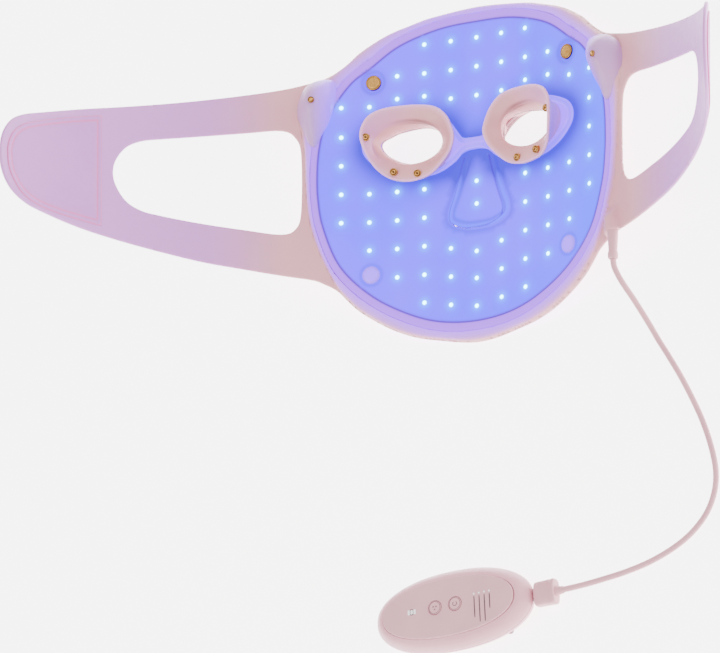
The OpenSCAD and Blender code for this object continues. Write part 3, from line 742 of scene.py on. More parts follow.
def lamp_material():
    s = Surface("led", Emission_Strength=3.0)
    cloud = s.between(s.noise(1.5), 0.3, 0.7)
    tone = s.mix(cloud, (0.85, 0.9, 0.95), (0.95, 0.9, 0.7))
    glow = s.mix(cloud, (0.4, 0.7, 1), (0.7, 0.9, 1))
    return s.finish(tone, 0.35, s.relief(s.noise(0.6), 0.02, 0.3), glow)


def floor_material():
    s = Surface("floor", Emission_Strength=5.0, Specular_IOR_Level=0.2)
    tone = s.mix(s.between(s.noise(400, 2), 0.3, 0.7), (0.93, 0.93, 0.93), (0.95, 0.945, 0.94))
    return s.finish(tone, 0.9, None, tone)


def make_materials():
    # The cover's band tint and glow are painted light from the panel, its hole tint painted shade
    cover_tints = {"strap": (0.56, 0.21, 0.60), "band": (0.42, 0.13, 0.86), "hole": HOLE_SHADE_TONE}
    return {
        "cover": soft_silicone("cover_silicone", (0.70, 0.33, 0.36), (0.66, 0.29, 0.34), 0.48,
                               cover_tints, "band", (0.32, 0.06, 1.15), 1.15),
        "panel": panel_material(),
        "frame": frame_material(),
        "cup": cup_material(),
        # Painted violet glow on the temple pads' inner sides and on the cheek bosses' tops
        "temple": soft_silicone("temple_silicone", (0.52, 0.26, 0.54), (0.48, 0.24, 0.54), 0.4,
                                {"inner": (0.38, 0.14, 0.80)}, "inner", (0.28, 0.04, 1.15), 1.0),
        "boss": soft_silicone("border_silicone", (0.30, 0.12, 0.75), (0.26, 0.10, 0.72), 0.35,
                              None, "lit", (0.30, 0.02, 2.3), 1.0),
        "gold": metal_material("gold", (0.64, 0.34, 0.09), (0.48, 0.23, 0.05), 0.26),
        "steel": metal_material("steel", (0.66, 0.66, 0.68), (0.5, 0.5, 0.52), 0.3, False),
        "cable": soft_silicone("cable_rubber", (0.66, 0.32, 0.36), (0.61, 0.29, 0.34), 0.5),
        "remote": plastic_material("remote_plastic", (0.72, 0.34, 0.40), (0.68, 0.31, 0.37), 0.42),
        "face": plastic_material("face_film", (0.66, 0.33, 0.37), (0.62, 0.31, 0.35), 0.34, 0.4),
        "button": plastic_material("button_plastic", (0.69, 0.34, 0.38), (0.65, 0.32, 0.36), 0.4),
        "print": plastic_material("print_ink", (0.10, 0.05, 0.055), (0.07, 0.035, 0.04), 0.5),
        "lens": plastic_material("lens", (0.98, 0.93, 0.93), (0.9, 0.86, 0.86), 0.2, 0.3, 0.5),
        "hooks": pad_material("hook_fabric", 0.5),
        "loops": pad_material("loop_fabric", 0.32),
        "led": lamp_material(),
        "board": board_material("board", (0.80, 0.80, 0.74), (0.6, 0.45, 0.25)),
        "remote_board": board_material("remote_board", (0.03, 0.16, 0.07), (0.05, 0.28, 0.12)),
        "foil": metal_material("battery_foil", (0.72, 0.73, 0.76), (0.6, 0.61, 0.64), 0.35, False),
        "black": plastic_material("black_plastic", (0.03, 0.03, 0.033), (0.02, 0.02, 0.022), 0.45),
        "floor": floor_material(),
    }


# ---- shared outlines ----
def both_sides(opening):
    """An upright opening as loops of arc lengths, on the right and on the left."""
    p = smooth(opening[::-1])
    u = FACE_R * np.arcsin(p[:, 0] / (BACK_R - FACE_H))
    loop = spaced(np.stack([u, p[:, 1]], 1), 1.8)
    return [loop, flipped(loop)]


def whole(half, size, n=6):
    """An evenly spaced outline from its right half, which runs from the top to the bottom."""
    p = np.array(half, float)
    return spaced(smooth(np.vstack([p, (p * [-1, 1])[::-1][p[::-1, 0] > 0]]), n), size)


def slot_line():
    half = smooth_open(SLOT_HALF, 8)
    return spaced(np.vstack([half, (half * [-1, 1])[::-1][1:]]), 1.5, closed=False)


def bead_lines():
    """Two raised lines that run along the nose flap's slot."""
    line = slot_line()
    return line * [1.1, 1] + [2, 0.6], line * [0.92, 0.93] + [2, 0.3]


def slot_loop():
    """The slot around the nose flap, a narrow U with round ends."""
    line = slot_line()
    one, two = sideways(line, SLOT_HALF_W, False), sideways(line, -SLOT_HALF_W, False)
    cap = ellipse(np.radians([135, 90, 45]), SLOT_HALF_W)
    return np.vstack([one, line[-1] + cap, two[::-1], line[0] + cap])


SHEET = whole(SHEET_HALF, 2.6)
RIM = whole(RIM_HALF, 2.4)
LINE = whole(LINE_HALF, 2.4)
POCKET = LINE * [1.045, 1.062]
PANEL = LINE * [1.041, 1.058]
SLOT_LINE = slot_line()
SLOT = slot_loop()
BEADS = bead_lines()
WINDOW_R = spaced(smooth(WINDOW), 2.2)
EYE_HOLES, MASK_HOLES = both_sides(OPENING), both_sides(MASK_OPENING)
FLANGE = whole(FLANGE_HALF, 1.6, 5)
SPOTS = np.array([[s * row * LED_PITCH, v] for row, places in LED_ROWS for v in places
                  for s in ((1,) if row == 0 else (-1, 1))] + FLAP_LEDS, float)


def in_flap(p):
    """Whether a place is on the nose flap, below its hinge."""
    return inside(p, SLOT_LINE) & (p[:, 1] < SLOT_LINE[0][1])


def flap_cut():
    """Line across the top of the flap, between the slot's upper ends."""
    v = SLOT_LINE[0][1]
    return np.array([[u, v] for u in np.linspace(-8, 8, 9)])


def upright(u, low, high, size=3.0):
    return np.array([[u, v] for v in np.arange(low, high, size)])


# ---- mask ----
def cover_heights(area):
    """Upper surface of the cover: thin field, raised rim, pocket for the panel."""
    p, edge = area.points, area.edge
    rim, pocket = depth_in(p, RIM), depth_in(p, POCKET)
    top = SHEET_T + (RIM_H - SHEET_T) * np.sqrt(1 - (1 - unit(rim / 2.8)) ** 2)
    top = top + 0.7 * unit(1 + rim / 2.4) ** 2 * (rim < 0)
    top = top - round_over(-pocket, 0.5) * (pocket <= 0)
    top = np.where(pocket > 0.05, SHEET_T, top)
    opening = distance(p, *MASK_HOLES, SLOT)
    top = np.where((opening < 1.6) & (pocket > 5), PANEL_H0 - 0.08, top)
    across = (p[:, 0] - GLAND_U + 0.6) / 5.4
    boss = GLAND_H + 4.2 * np.sqrt(unit(1 - across ** 2))
    boss = SHEET_T + (boss - SHEET_T) * step(np.abs(across), 1.0, 0.75) * step(p[:, 1], -38, -47)
    top = np.where((p[:, 0] > 80) & (p[:, 1] < -36), np.maximum(top, boss), top)
    back = 0.35 * hump(edge - 9, 0.9) * (np.abs(p[:, 0]) < 96) * (pocket > -4)
    return top - round_over(edge, 0.8), round_over(edge, 0.8) + back


def build_cover(mats):
    """Cover, straps and the cover side of the nose flap, from one sheet cut at the joints."""
    holes = [WINDOW_R, flipped(WINDOW_R), *MASK_HOLES, SLOT]
    lines = beside(RIM, -2.2, -1.2, -0.5, 0, 0.12, 0.45, 1.0, 1.8, 2.8)
    lines += beside(POCKET, -0.7, -0.35, -0.12, 0, 0.12, 0.35, 0.7)
    lines += beside(SHEET, 8, 8.6, 9, 9.4, 10, -8, -8.6, -9, -9.4, -10)
    boss = np.array([[u, v] for u in np.arange(93, 108, 1.0) for v in np.arange(-56, -36, 1.5)])
    cuts = [upright(s * u, -104, 104) for u in (ROOT_CUT, TIP_CUT) for s in (-1, 1)]
    area = Area(SHEET, holes, lines + [boss], cuts + [flap_cut()], grid=4.2)
    p = area.points
    top, bottom = cover_heights(area)
    out = distance(p, PANEL)
    # hole: painted shade round the mask's openings; band: painted glow of the panel's light on the
    # rim beside the panel
    looks = {"hole": step(distance(p, *MASK_HOLES), 3, 2),
             "strap": step(np.abs(p[:, 0]), 108, 165),
             "band": step(out, 8.5, 0.5) * (depth_in(p, RIM) > -1) * step(top, 3.5, 5)}
    rows = [("cover_shell", lambda m: (np.abs(m[:, 0]) < ROOT_CUT) & ~in_flap(m)),
            ("nose_flap_back", in_flap)]
    for side, word in SIDES:
        rows += [(f"strap_{word}_arms", lambda m, s=side:
                  (s * m[:, 0] > ROOT_CUT) & (s * m[:, 0] < TIP_CUT)),
                 (f"strap_{word}_end", lambda m, s=side: s * m[:, 0] > TIP_CUT)]
    made = {name: plate(name, area, area.part(test), top, bottom, mats["cover"], **looks)
            for name, test in rows}
    ride(made["cover_shell"], "mask", "cover_silicone", "outer_cover")
    bend(made["nose_flap_back"], "mask", "nose_flap", flap_zone(), "cover_silicone",
         "nose_flap_cover")
    for side, word in SIDES:
        strap = f"strap_{word}"
        bend(made[f"{strap}_arms"], "mask", strap, sheet_zone(side * ROOT_U, side * 7),
             "strap_silicone", strap)
        bend(made[f"{strap}_end"], strap, f"{strap}_tip", sheet_zone(side * FOLD_U, side * 4),
             "strap_silicone", f"{strap}_tip")


def sheet_zone(u, half):
    """Start and end of a strap's bend, at half the sheet's thickness, in metres."""
    return wrap(np.array([[u - half, 0], [u + half, 0]]), SHEET_T / 2) * MM


def flap_zone():
    """Start and end of the nose flap's bend, in metres."""
    top = SLOT_LINE[0][1]
    return wrap(np.array([[0, top], [0, top - 5.0]]), 3.0) * MM


def build_panel(mats):
    """Light panel and the panel side of the nose flap."""
    discs = [circle(at, 4.6) for at in pair(ELECTRODE_AT)]
    bosses = [circle(at, 5.4) for at in pair(CHEEK_AT)]
    lines = beside(LINE, -1.6, -0.8, -0.45, -0.2, 0, 0.2, 0.45, 0.8, 1.6)
    lines += [sideways(line, s * d, False) for line in BEADS for s in (-1, 1)
              for d in (0, 0.4, 0.8, 1.2, 1.6, 2.1, 2.7)]
    lines += [circle(q, r, n) for q in SPOTS
              for r, n in ((0.01, 3), (0.6, 8), (1.1, 12), (1.5, 12), (1.9, 14), (2.6, 14),
                           (3.6, 14), (5.0, 14))]
    lines += [circle(at, r, 30) for at in [*pair(ELECTRODE_AT), *pair(CHEEK_AT)]
              for r in (5.6, 6.2, 6.8, 7.5, 8.4)]
    lines += beside(FLANGE, -6, -3.5, -1.5, 0, 1.5, 3.5, 6)
    area = Area(PANEL, [*MASK_HOLES, *discs, *bosses, SLOT], lines, [flap_cut()],
                grid=3.2, rings=(0.25, 0.6, 1.4))
    p, edge = area.points, area.edge
    groove = distance(p, LINE)
    slot = distance(p, SLOT_LINE, closed=False)
    spot, disc, cheek = (nearest(p, q) for q in (SPOTS, pair(ELECTRODE_AT), pair(CHEEK_AT)))
    ridge, inner = (distance(p, line, closed=False) for line in BEADS)
    bead = (hump(ridge, 1.0) + 0.7 * hump(inner, 0.8)) * step(p[:, 1], 13, 4)
    top = FACE_H - round_over(edge, 0.5) - GROOVE_DEPTH * hump(groove, 0.4) + BEAD_HEIGHT * bead
    top = top - 0.3 * hump(ridge - 2.2, 0.8) * step(p[:, 1], 13, 6)
    top = top + 0.35 * unit(1 - (spot / SPOT_R) ** 2) - 0.12 * hump(spot - 2.1, 0.6)
    top = top - 0.5 * step(disc, 7.2, 5.6) - 0.3 * hump(cheek - 6.3, 0.7)
    # Painted shade round the eye module's flange, beside the outer bead, over the top of the nose
    # and round the discs and bosses
    flange = np.maximum(-depth_in(p, FLANGE), 0)
    shade = 1.1 * np.exp(-(flange / 8) ** 1.5) + 0.5 * hump(ridge - 2.4, 1.2)
    shade = shade + 0.9 * hump(np.abs(p[:, 0]) - 11, 8) * hump(p[:, 1] - 5, 9)
    shade = shade + 0.5 * hump(disc - 6.4, 1.5) + 0.35 * hump(cheek - 6.3, 1.0)
    out = np.where(inside(p, LINE), 0, 1)
    # Bluer towards the right and round the lights, with a painted highlight on the beads
    azure = 0.8 * step(p[:, 0], 20, 100) * (1 - out) + 0.7 * bead + 0.3 * hump(spot, 6)
    # line: darker groove round the panel, with painted shade along the slot; hole: painted shade in
    # the openings
    looks = {"hole": step(distance(p, *MASK_HOLES), 3, 2),
             "core": step(spot, SPOT_R, 0.85), "halo": 0.75 * hump(spot, 3.0),
             "line": np.maximum(hump(groove, 0.7), 0.5 * step(slot, 0.6, 0.2)),
             "band": out * step(groove, 0, 0.8), "deep": unit(shade),
             "azure": unit(azure)}
    panel = plate("panel_skin", area, area.part(lambda m: ~in_flap(m)), top, PANEL_H0,
                  mats["panel"], **looks)
    ride(panel, "mask", "glow_panel", "light_panel")
    flap = plate("nose_flap_skin", area, area.part(in_flap), top, PANEL_H0, mats["panel"], **looks)
    bend(flap, "mask", "nose_flap", flap_zone(), "glow_panel", "nose_flap_panel")


def build_temple_pads(mats):
    """Soft pads over the strap roots, each with its contact stud."""
    for side, word in SIDES:
        mound = Area(spaced(smooth(TEMPLE, 5), 1.4), grid=1.6, rings=(0.25, 0.6, 1.1, 1.8, 2.8))
        p, edge = mound.points, mound.edge
        flat = unit(edge / (8.5 + 3.5 * step(p[:, 0], 101, 93)))
        rise = np.sqrt(1 - (1 - flat) ** 2) * (0.25 + 0.75 * hump(p[:, 1] - 51, 16))
        stud = lengths(p - STUD_AT)
        base = np.where(depth_in(p, POCKET) > 0, FACE_H - 0.2, RIM_H - 0.3)
        base = base - 3.2 * step(p[:, 0], 101, 107)
        top = base + 0.2 + TEMPLE_RISE * rise - 0.9 * step(stud, 3.4, 2.2)
        # Painted violet glow of the panel's light on the pad's inner side
        inner = step(p[:, 0], 101, 89)
        if side < 0:
            mound.points = mound.points * [-1, 1]
            mound.loops = [loop * [-1, 1] for loop in mound.loops]
        pad = plate(f"temple_pad_{word}_skin", mound, mound.faces, top, base, mats["temple"],
                    inner=inner)
        ride(pad, "mask", "temple_silicone", f"temple_pad_{word}")
        top_h = float(top[np.argmin(stud)])
        profile = [(0.02, 0), (1.9, 0), (1.9, 0.9), (1.75, 1.25), (1.3, 1.35), (1.15, 1.2),
                   (0.95, 1.45), (0.6, 1.7), (0.02, 1.8)]
        # Painted shade in the groove round the dome
        dark = [0, 0, 0.2, 0.5, 1, 1, 0.1, 0, 0]
        place = sheet_place(side, STUD_AT) @ shift(0, 0, top_h - 0.35)
        cap = lathe(f"temple_stud_{word}_cap", profile, place, mats["gold"], dark=dark)
        ride(cap, "mask", "gold", f"temple_stud_{word}")


def build_discs(mats):
    """Forehead electrodes and cheek bosses."""
    for side, word in SIDES:
        place = sheet_place(side, ELECTRODE_AT)
        profile = [(0.02, 3), (4.45, 3), (4.5, 3.2), (4.5, 6.0), (4.35, 6.25), (4.0, 6.35),
                   (3.75, 6.2), (3.55, 6.15), (3.3, 6.3), (2.4, 6.38), (1.2, 6.42), (0.02, 6.43)]
        # Painted shade on the side wall and in the groove
        dark = [0, 0, 0, 0.9, 0.6, 0.2, 0.7, 0.7, 0.1, 0, 0, 0]
        disc = lathe(f"forehead_electrode_{word}_disc", profile, place, mats["gold"], 48, dark=dark)
        ride(disc, "mask", "gold", f"forehead_electrode_{word}")
        place = sheet_place(side, CHEEK_AT)
        profile = [(0.02, 3.1), (5.2, 3.1), (5.25, 3.3), (5.25, 6.0), (5.1, 6.35), (4.7, 6.6),
                   (4.2, 6.65), (3.9, 6.8), (3.4, 7.0), (2.6, 7.1), (1.2, 7.15), (0.02, 7.16)]
        # Painted glow of the panel's light, strongest over the top
        lit = [0, 0, 0, 0.5, 0.6, 0.5, 0.75, 0.8, 0.95, 1, 1, 1]
        boss = lathe(f"cheek_pad_{word}_boss", profile, place, mats["boss"], 48, lit=lit)
        ride(boss, "mask", "border_silicone", f"cheek_pad_{word}")


# ---- eye module ----
def build_eye_frame(mats):
    lines = beside(FLANGE, -2.4, -2.9, -3.4, -4, 2.4, 2.9, 3.4, 4)
    area = Area(FLANGE, EYE_HOLES, lines, grid=2.6, rings=(0.25, 0.6, 1.1, 1.8))
    p = area.points
    rim = distance(p, FLANGE)
    middle = step(np.abs(p[:, 0]), 12, 5)
    top = FLANGE_H1 + 1.15 * middle - 0.7 * step(rim, 3.6, 2.6) * (1 - middle)
    top = top - round_over(area.edge, 0.8)
    bottom = FLANGE_H0 + 0.5 * middle + round_over(area.edge, 0.3)
    # Weaker painted glow at the flange's border and bridge, and painted shade in the openings
    edge = unit(step(rim, 3.6, 2.4) * 0.9 + 0.4 * middle)
    hole = step(distance(p, *EYE_HOLES), 0.6, 0.2)
    flange = plate("eye_frame_flange", area, area.faces, top, bottom, mats["frame"],
                   edge=edge, hole=hole)
    ride(flange, "eye_module", "cup_silicone", "eye_frame")


def sheet_z(x, h):
    """Height of the sheet's layer h at a place across the face."""
    return BACK_R - np.sqrt((BACK_R - h) ** 2 - x ** 2)


def by_angle(arm, values, way):
    """Values of an outline's points, read in the given directions from its centre."""
    angle = np.arctan2(arm[:, 1], arm[:, 0])
    order = np.argsort(angle)
    return np.interp(way, angle[order], values[order], period=2 * math.pi)


def around(outline, centre, way):
    """Places of an outline in the given directions from a centre."""
    arm = outline - centre
    r = by_angle(arm, lengths(arm), way)
    return centre + r[:, None] * ellipse(way)


def cup_rings():
    """Rings of the right eye cup, from its foot over the lip into the bowl and down."""
    t = turns(120)
    lip = smooth(CUP_LIP, 12)
    way = np.arctan2(LIP_HALF_H * np.sin(t), LIP_HALF_W * np.cos(t))
    rim = around(lip[:, :2], np.zeros(2), way)
    rise = by_angle(lip, lip[:, 2], way)
    place = rim_place(1)

    def inset_rim(inset):
        return rim * (1 - inset / lengths(rim)[:, None])

    def on_rim(inset, z):
        return moved(place, np.column_stack([inset_rim(inset), z + rise]))

    foot = around(spaced(smooth(CUP_BASE), 0.5), CUP_FOOT_AT, way) + [0, MASK_Y]
    foot = np.column_stack([foot, sheet_z(foot[:, 0], FLANGE_H1 - 0.5)])
    lip_out = on_rim(0, -1.3)
    inward = np.array([CUP_AT[0], CUP_AT[1], 0]) - lip_out * [1, 1, 0]
    inward = inward / lengths(inward)[:, None]
    rings = [foot]
    for f in (0.06, 0.2, 0.4, 0.6, 0.8, 0.93):
        rings.append(foot * (1 - f) + lip_out * f + inward * 1.6 * math.sin(math.pi * f ** 0.7))
    rings += [lip_out] + [on_rim(c, z) for c, z in (
        (0.08, -0.6), (0.3, -0.05), (0.65, 0.25), (1.0, 0.3), (1.35, 0.12), (1.6, -0.2))]
    lip_end = len(rings)
    side = EYE_AT[0] - CUP_AT[0]
    floor = ellipse(t, BOWL_W / 2, BOWL_H / 2) + [side, 0]
    flat = inset_rim(1.6)
    for f in (0.1, 0.22, 0.36, 0.5, 0.64, 0.78, 0.9, 1.0):
        z = -0.2 - (BOWL_DEPTH - 0.2) * f ** 1.5 + (1 - f) * rise
        rings.append(moved(place, np.column_stack([flat * (1 - f) + floor * f, z])))
    bowl_end = len(rings)
    hole = around(smooth(OPENING[::-1], 8), EYE_AT, t) + [0, MASK_Y]
    hole = np.column_stack([hole, sheet_z(hole[:, 0], FLANGE_H1 + 0.6)])
    for f in (0.06, 0.2, 0.45, 0.7, 0.9, 1.0):
        pull = f ** 0.8
        ring = rings[bowl_end - 1] * (1 - pull) + hole * pull
        ring[:, 2] = rings[bowl_end - 1][:, 2] * (1 - f) + hole[:, 2] * f
        rings.append(ring)
    # Sleeve that lines the mask's opening on its upper nose side, and a plain edge elsewhere
    lining = around(smooth(MASK_OPENING[::-1], 8), EYE_AT, t) + [0, MASK_Y]
    lining = (lining - hole[:, :2]) * 0.97
    reach = (step(t, 0.8, 1.3) * step(t, 3.7, 3.2))[:, None]
    for f in (0.5, 1.0):
        low = hole[:, :2] + lining * reach * f
        h = FLANGE_H1 + 0.6 - f * (1.0 + 7.0 * reach[:, 0])
        rings.append(np.column_stack([low, sheet_z(low[:, 0], h)]))
    return np.array(rings), t, lip_end, bowl_end


def build_cups(mats):
    rings, t, lip_end, bowl_end = cup_rings()
    index = np.arange(len(rings))[:, None] + 0 * t[None]
    upper = 1.3 * unit(np.sin(t - 0.35))[None] ** 5
    fold = index - bowl_end
    # The crease's tint is painted shade in the fold
    crease = upper * (hump(fold + 1.5, 0.7) + 0.7 * hump(fold - 0.8, 0.7))
    rings[:, :, 2] -= CREASE_DEPTH * crease
    lip = hump(index - (lip_end - 3), 2.2)
    # Painted violet light from the panel on the cup's outside and the bowl's temple side, painted
    # shade on the bowl's nose side
    outside = (index < lip_end - 6) * 0.9
    temple = 0.55 * unit(np.cos(t - 0.3))[None] * (index >= lip_end) * (index <= bowl_end)
    nose = 0.35 * unit(-np.cos(t))[None] * (index > lip_end) * (index <= bowl_end + 3)
    looks = {"lip": lip, "shade": nose, "lilac": np.maximum(outside, temple), "crease": crease}
    for side, word in SIDES:
        skin = (rings * [side, 1, 1])[:, ::side]
        cup = loft(f"eye_cup_{word}_shell", skin, mats["cup"], ring_closed=True,
                   **{name: value[:, ::side].ravel() for name, value in looks.items()})
        ride(cup, "eye_module", "cup_silicone", f"eye_cup_{word}")
        for spot, (x, y, z) in CONTACTS.items():
            build_contact(f"eye_contact_{word}_{spot}", rim_place(side) @ shift(x, y, z), mats)


def build_contact(node, place, mats):
    """Snap-like contact: seat ring, groove and a small cupped head."""
    profile = [(0.02, -1.6), (2.2, -1.6), (2.3, -1.4), (2.3, 0.75), (2.2, 1.0), (1.95, 1.1),
               (1.65, 0.95), (1.55, 0.7), (1.45, 0.75), (1.35, 1.25), (1.1, 1.55), (0.75, 1.5),
               (0.5, 1.1), (0.02, 1.0)]
    # Painted shade on the side, in the groove and in the head's hollow
    dark = [0, 0, 0, 0.5, 0.35, 0.2, 0.9, 1, 0.8, 0, 0, 0.3, 1, 1]
    head = lathe(f"{node}_snap", profile, place, mats["gold"], 28, dark=dark)
    ride(head, "eye_module", "gold", node)


# ---- closure pads ----
def build_pads(mats):
    """Hook pad on the left strap's face side, loop pad on the right strap's table side."""
    outline = spaced(smooth_corner(PAD), 2.2)
    rows = [("hook_pad_felt", "hook_pad", -1, "strap_left_tip", SHEET_T, 0.55, "hooks"),
            ("loop_pad_felt", "loop_pad", 1, "strap_right_tip", 0.0, -0.8, "loops")]
    for name, node, side, body, base, rise, finish in rows:
        loop = outline if side > 0 else flipped(outline)
        lines = beside(loop, -2.0, -2.4, -2.8, -3.2, -3.6, 2.0, 2.4, 2.8, 3.2, 3.6)
        area = Area(loop, [], lines, grid=4, rings=(0.2, 0.5, 1.0))
        border = hump(area.edge - 2.8, 0.5)
        out = base + rise - math.copysign(1, rise) * (round_over(area.edge, 0.45) + 0.22 * border)
        top, bottom = (out, base) if rise > 0 else (base, out)
        line = unit(border + step(area.edge, 0.8, 0.1))
        pad = plate(name, area, area.faces, top, bottom, mats[finish], line=line)
        ride(pad, body, "hook_fabric", node)


def smooth_corner(points):
    """Outline of a pad: its round end smoothed and its straight side kept."""
    line = smooth_open(points)
    side = np.linspace(points[-1], points[0], 24)[1:-1]
    return np.vstack([line, side])


# ---- cable ----
def build_cable(mats):
    path = smooth_open(CABLE_ROUTE, 8)
    curve = bpy.data.curves.new("cable_lead", "CURVE")
    curve.dimensions = "3D"
    curve.bevel_depth = CABLE_D / 2
    curve.bevel_resolution = 5
    curve.use_fill_caps = True
    line = curve.splines.new("POLY")
    line.points.add(len(path) - 1)
    for point, at in zip(line.points, path):
        point.co = (*at, 1)
    curve.materials.append(mats["cable"])
    return ride(add_object("cable_lead", curve), "mask", "cable_rubber", "cable")


def build_gland(mats):
    """Strain relief that leaves the rim beside the strap."""
    place = sheet_place(1, (GLAND_U, 0)) @ shift(0, -50, GLAND_H) @ turn("X", 90)
    profile = [(0.02, -3), (3.0, -3), (3.1, 0), (3.1, 5), (3.0, 9), (2.8, 12), (2.62, 14.5),
               (2.55, 16.2), (2.75, 16.9), (2.95, 17.3), (3.0, 18.6), (2.95, 20.2), (2.7, 20.8),
               (2.2, 21), (1.75, 20.9)]
    gland = lathe("cable_gland_boot", profile, place, mats["cable"])
    return ride(gland, "mask", "cable_rubber", "cable_gland")


def stadium(h, w, count=48, power=0.62):
    """Superellipse, height h and width w: rounder at a power near 1, squarer at a lower one."""
    c, s = np.cos(turns(count)), np.sin(turns(count))
    return np.stack([w / 2 * np.sign(c) * np.abs(c) ** power,
                     h / 2 * np.sign(s) * np.abs(s) ** power], 1)


def build_plug(mats):
    """Plug housing and its strain relief."""
    s0, s1, s2 = PLUG_S
    grip = [(s0, 6.8, 12.8), (s0 + 0.25, 7.6, 13.6), (s0 + 0.9, 8.3, 14.3), (s0 + 3, 8.6, 14.5),
            (s0 + 7, 8.7, 14.6), (s1 - 3.4, 8.8, 14.8), (s1 - 3.1, 8.5, 14.5),
            (s1 - 2.8, 8.5, 14.5), (s1 - 2.5, 8.9, 14.9), (s1 - 1.0, 9.0, 15.0),
            (s1 - 0.35, 8.6, 14.6), (s1 - 0.05, 7.8, 13.8), (s1, 6.4, 12.4)]
    boot = [(s1 - 0.4, 2.9), (s1 + 0.4, 2.9), (s1 + 0.7, 2.6), (s1 + 1.6, 2.55),
            (s1 + 2.6, 2.35), (s2 - 0.5, 2.2), (s2 - 0.1, 2.1), (s2, 1.8)]
    rows = [("plug_housing_grip", "plug_housing", [(s, stadium(h, w)) for s, h, w in grip]),
            ("plug_relief_boot", "plug_relief", [(s, circle((0, 0), r, 28)) for s, r in boot])]
    return [ride(loft(name, [remote_section(*row) for row in sections], mats["cable"]),
                 "mask", "cable_rubber", node) for name, node, sections in rows]


def remote_section(s, flat):
    """A cross-section at s along the remote's axis, at the plug's height."""
    return on_remote(np.column_stack([s + 0 * flat[:, 0], flat[:, 0]]), PLUG_Z + flat[:, 1])


# ---- remote ----
def pebble(length, width):
    """Outline that the remote and its face share."""
    return stadium(width, length, 120, 0.92)


def shell_rings(profile):
    """Rings of a remote shell from (inset, height) pairs."""
    return [on_remote(pebble(REMOTE_L - 2 * i, REMOTE_W - 1.8 * i), z) for i, z in profile]


def build_remote(mats):
    low = smooth_open([(8.5, 0), (6.2, 0.5), (3.6, 2.1), (1.35, 4.8), (0.35, 7.6), (0.05, 9.1)])
    low = [(24, 0), (12, 0), *low, (0.25, 9.4), (0.7, 9.45), (6, 9.45)]
    high = smooth_open([(0.05, 9.9), (0.15, 11), (0.8, 12.9), (2.5, 15.6), (4.6, 17.6),
                        (6.6, 18.55)])
    high = [(6, 9.55), (0.7, 9.55), (0.25, 9.6), *high, (7.1, 18.62), (7.25, 18.5), (7.3, 18.2),
            (12, 18.2)]
    for word, profile in (("lower", low), ("upper", high)):
        case = loft(f"remote_{word}_case", shell_rings(profile), mats["remote"])
        ride(case, "remote", "remote_plastic", f"remote_{word}_shell")
    build_face(mats)
    for word, s in BUTTONS.items():
        build_button(word, s, mats)


def build_face(mats):
    """Raised face with plain bars and a battery outline in place of its lettering."""
    outline = spaced(pebble(FACE_L - 0.4, FACE_W - 0.4), 2)
    holes = [circle((s, BUTTON_T), BUTTON_D / 2 + 0.25, 40) for s in BUTTONS.values()]
    area = Area(outline, holes, grid=3.5, rings=(0.2, 0.5, 1.0))
    face = plate("remote_face_film", area, area.faces, FACE_TOP - round_over(area.edge, 0.5), 18.25,
                 mats["face"], place=on_remote)
    ride(face, "remote", "face_film", "remote_face_panel")
    first, pitch, bar_end, bar_w, battery_s = 17.5, 3.3, 3.1, 0.75, -23
    for i, length in enumerate((12.8, 16.0, 16.2, 9.1)):
        bar = stadium(length, bar_w, 32, 0.5) + [first + pitch * i, bar_end - length / 2]
        bar = printed(f"label_bar_{i + 1}", [bar], FACE_TOP - 0.1, FACE_TOP + 0.05, 2.5, 0.12, mats)
        ride(bar, "remote", "face_film")
    case = [stadium(h, w, 32, 0.35) + [battery_s, BUTTON_T] for h, w in ((3.4, 2.3), (2.6, 1.5))]
    icon = printed("battery_icon", case, FACE_TOP, FACE_TOP + 0.16, 2, 0.1, mats)
    ride(icon, "remote", "face_film")


def printed(name, loops, low, high, grid, ring, mats):
    """A thin layer of ink inside an outline and around its holes."""
    area = Area(loops[0], loops[1:], grid=grid, rings=(ring,))
    return plate(name, area, area.faces, high, low, mats["print"], place=on_remote)


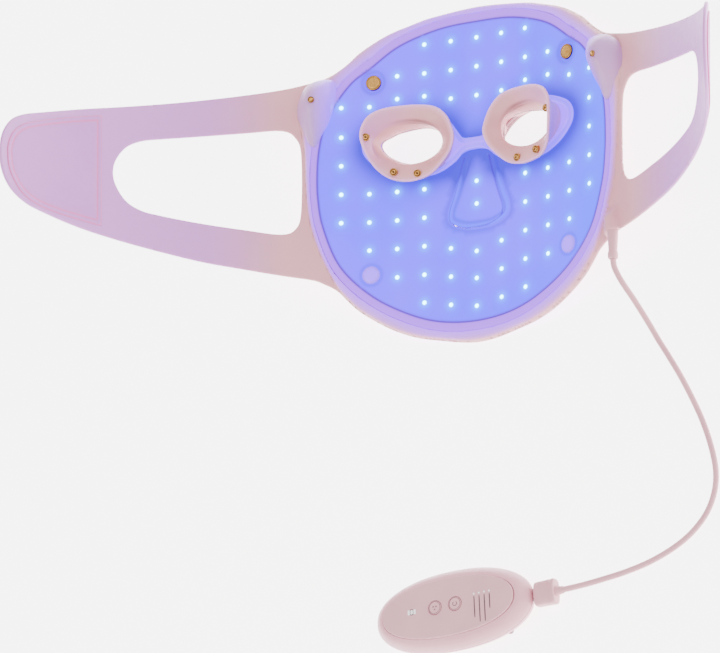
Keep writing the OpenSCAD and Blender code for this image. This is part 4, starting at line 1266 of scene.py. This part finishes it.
def build_button(word, s, mats):
    """A key with a printed ring and a generic sign."""
    place = shift(*on_remote(np.array([[s, BUTTON_T]]), 0.0)[0]) @ turn("Z", REMOTE_TURN)
    body, ink = f"button_{word}", BUTTON_TOP + 0.13
    profile = [(0.02, 14), (3.9, 14), (3.98, 14.2), (3.98, 19.5), (3.85, 19.8), (3.6, 19.92),
               (3.0, 19.88), (1.5, 19.84), (0.02, 19.83)]
    cap = lathe(f"{body}_cap", profile, place, mats["button"], 48)
    ride(cap, body, "button_plastic", body)
    rings = [moved(place, level_ring(r, z, 48))
             for r, z in ((3.35, 19.86), (3.62, 19.86), (3.62, 19.97), (3.35, 19.97))]
    marks = [loft(f"{body}_ring", rings, mats["print"], ring_closed=True)]
    if word == "power":
        line = ellipse(np.radians(np.linspace(-235, 55, 30)), 1.25)
        loop = np.vstack([line * 1.16, line[::-1] * 0.84]) + [s, BUTTON_T]
        marks.append(printed("power_mark", [loop], BUTTON_TOP, ink, 3, 0.08, mats))
    else:
        dot = rounded_disc(0.42, BUTTON_TOP, ink, 0.05)
        for i, w in enumerate((0.5, 2.6, 4.7)):
            spot = place @ shift(1.1 * math.cos(w), 1.1 * math.sin(w), 0)
            marks.append(lathe(f"mode_dot_{i}", dot, spot, mats["print"], 16))
    for mark in marks:
        ride(mark, body, "button_plastic")


# ---- nodes that keep their CAD mesh ----
KEPT = {"flex_board": "board", "led_chips": "led", "nose_flap_board": "board",
        "nose_flap_leds": "led", "eye_frame_pins": "gold", "plug_shell": "steel",
        "remote_socket": "steel", "remote_board": "remote_board", "battery_cell": "foil",
        "switches": "black", "indicator_lenses": "lens", "battery_window": "lens",
        "case_screws": "steel"}


def dress_kept_nodes(mats):
    for node, finish in KEPT.items():
        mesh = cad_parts[node].data
        mesh.materials.clear()
        mesh.materials.append(mats[finish])


aim_camera()
light_studio()
materials = make_materials()
build_floor(materials)
cable = build_cable(materials)
gland = build_gland(materials)
plug_parts = build_plug(materials)
for build in (build_cover, build_panel, build_temple_pads, build_discs, build_eye_frame, build_cups,
              build_pads, build_remote, dress_kept_nodes):
    build(materials)
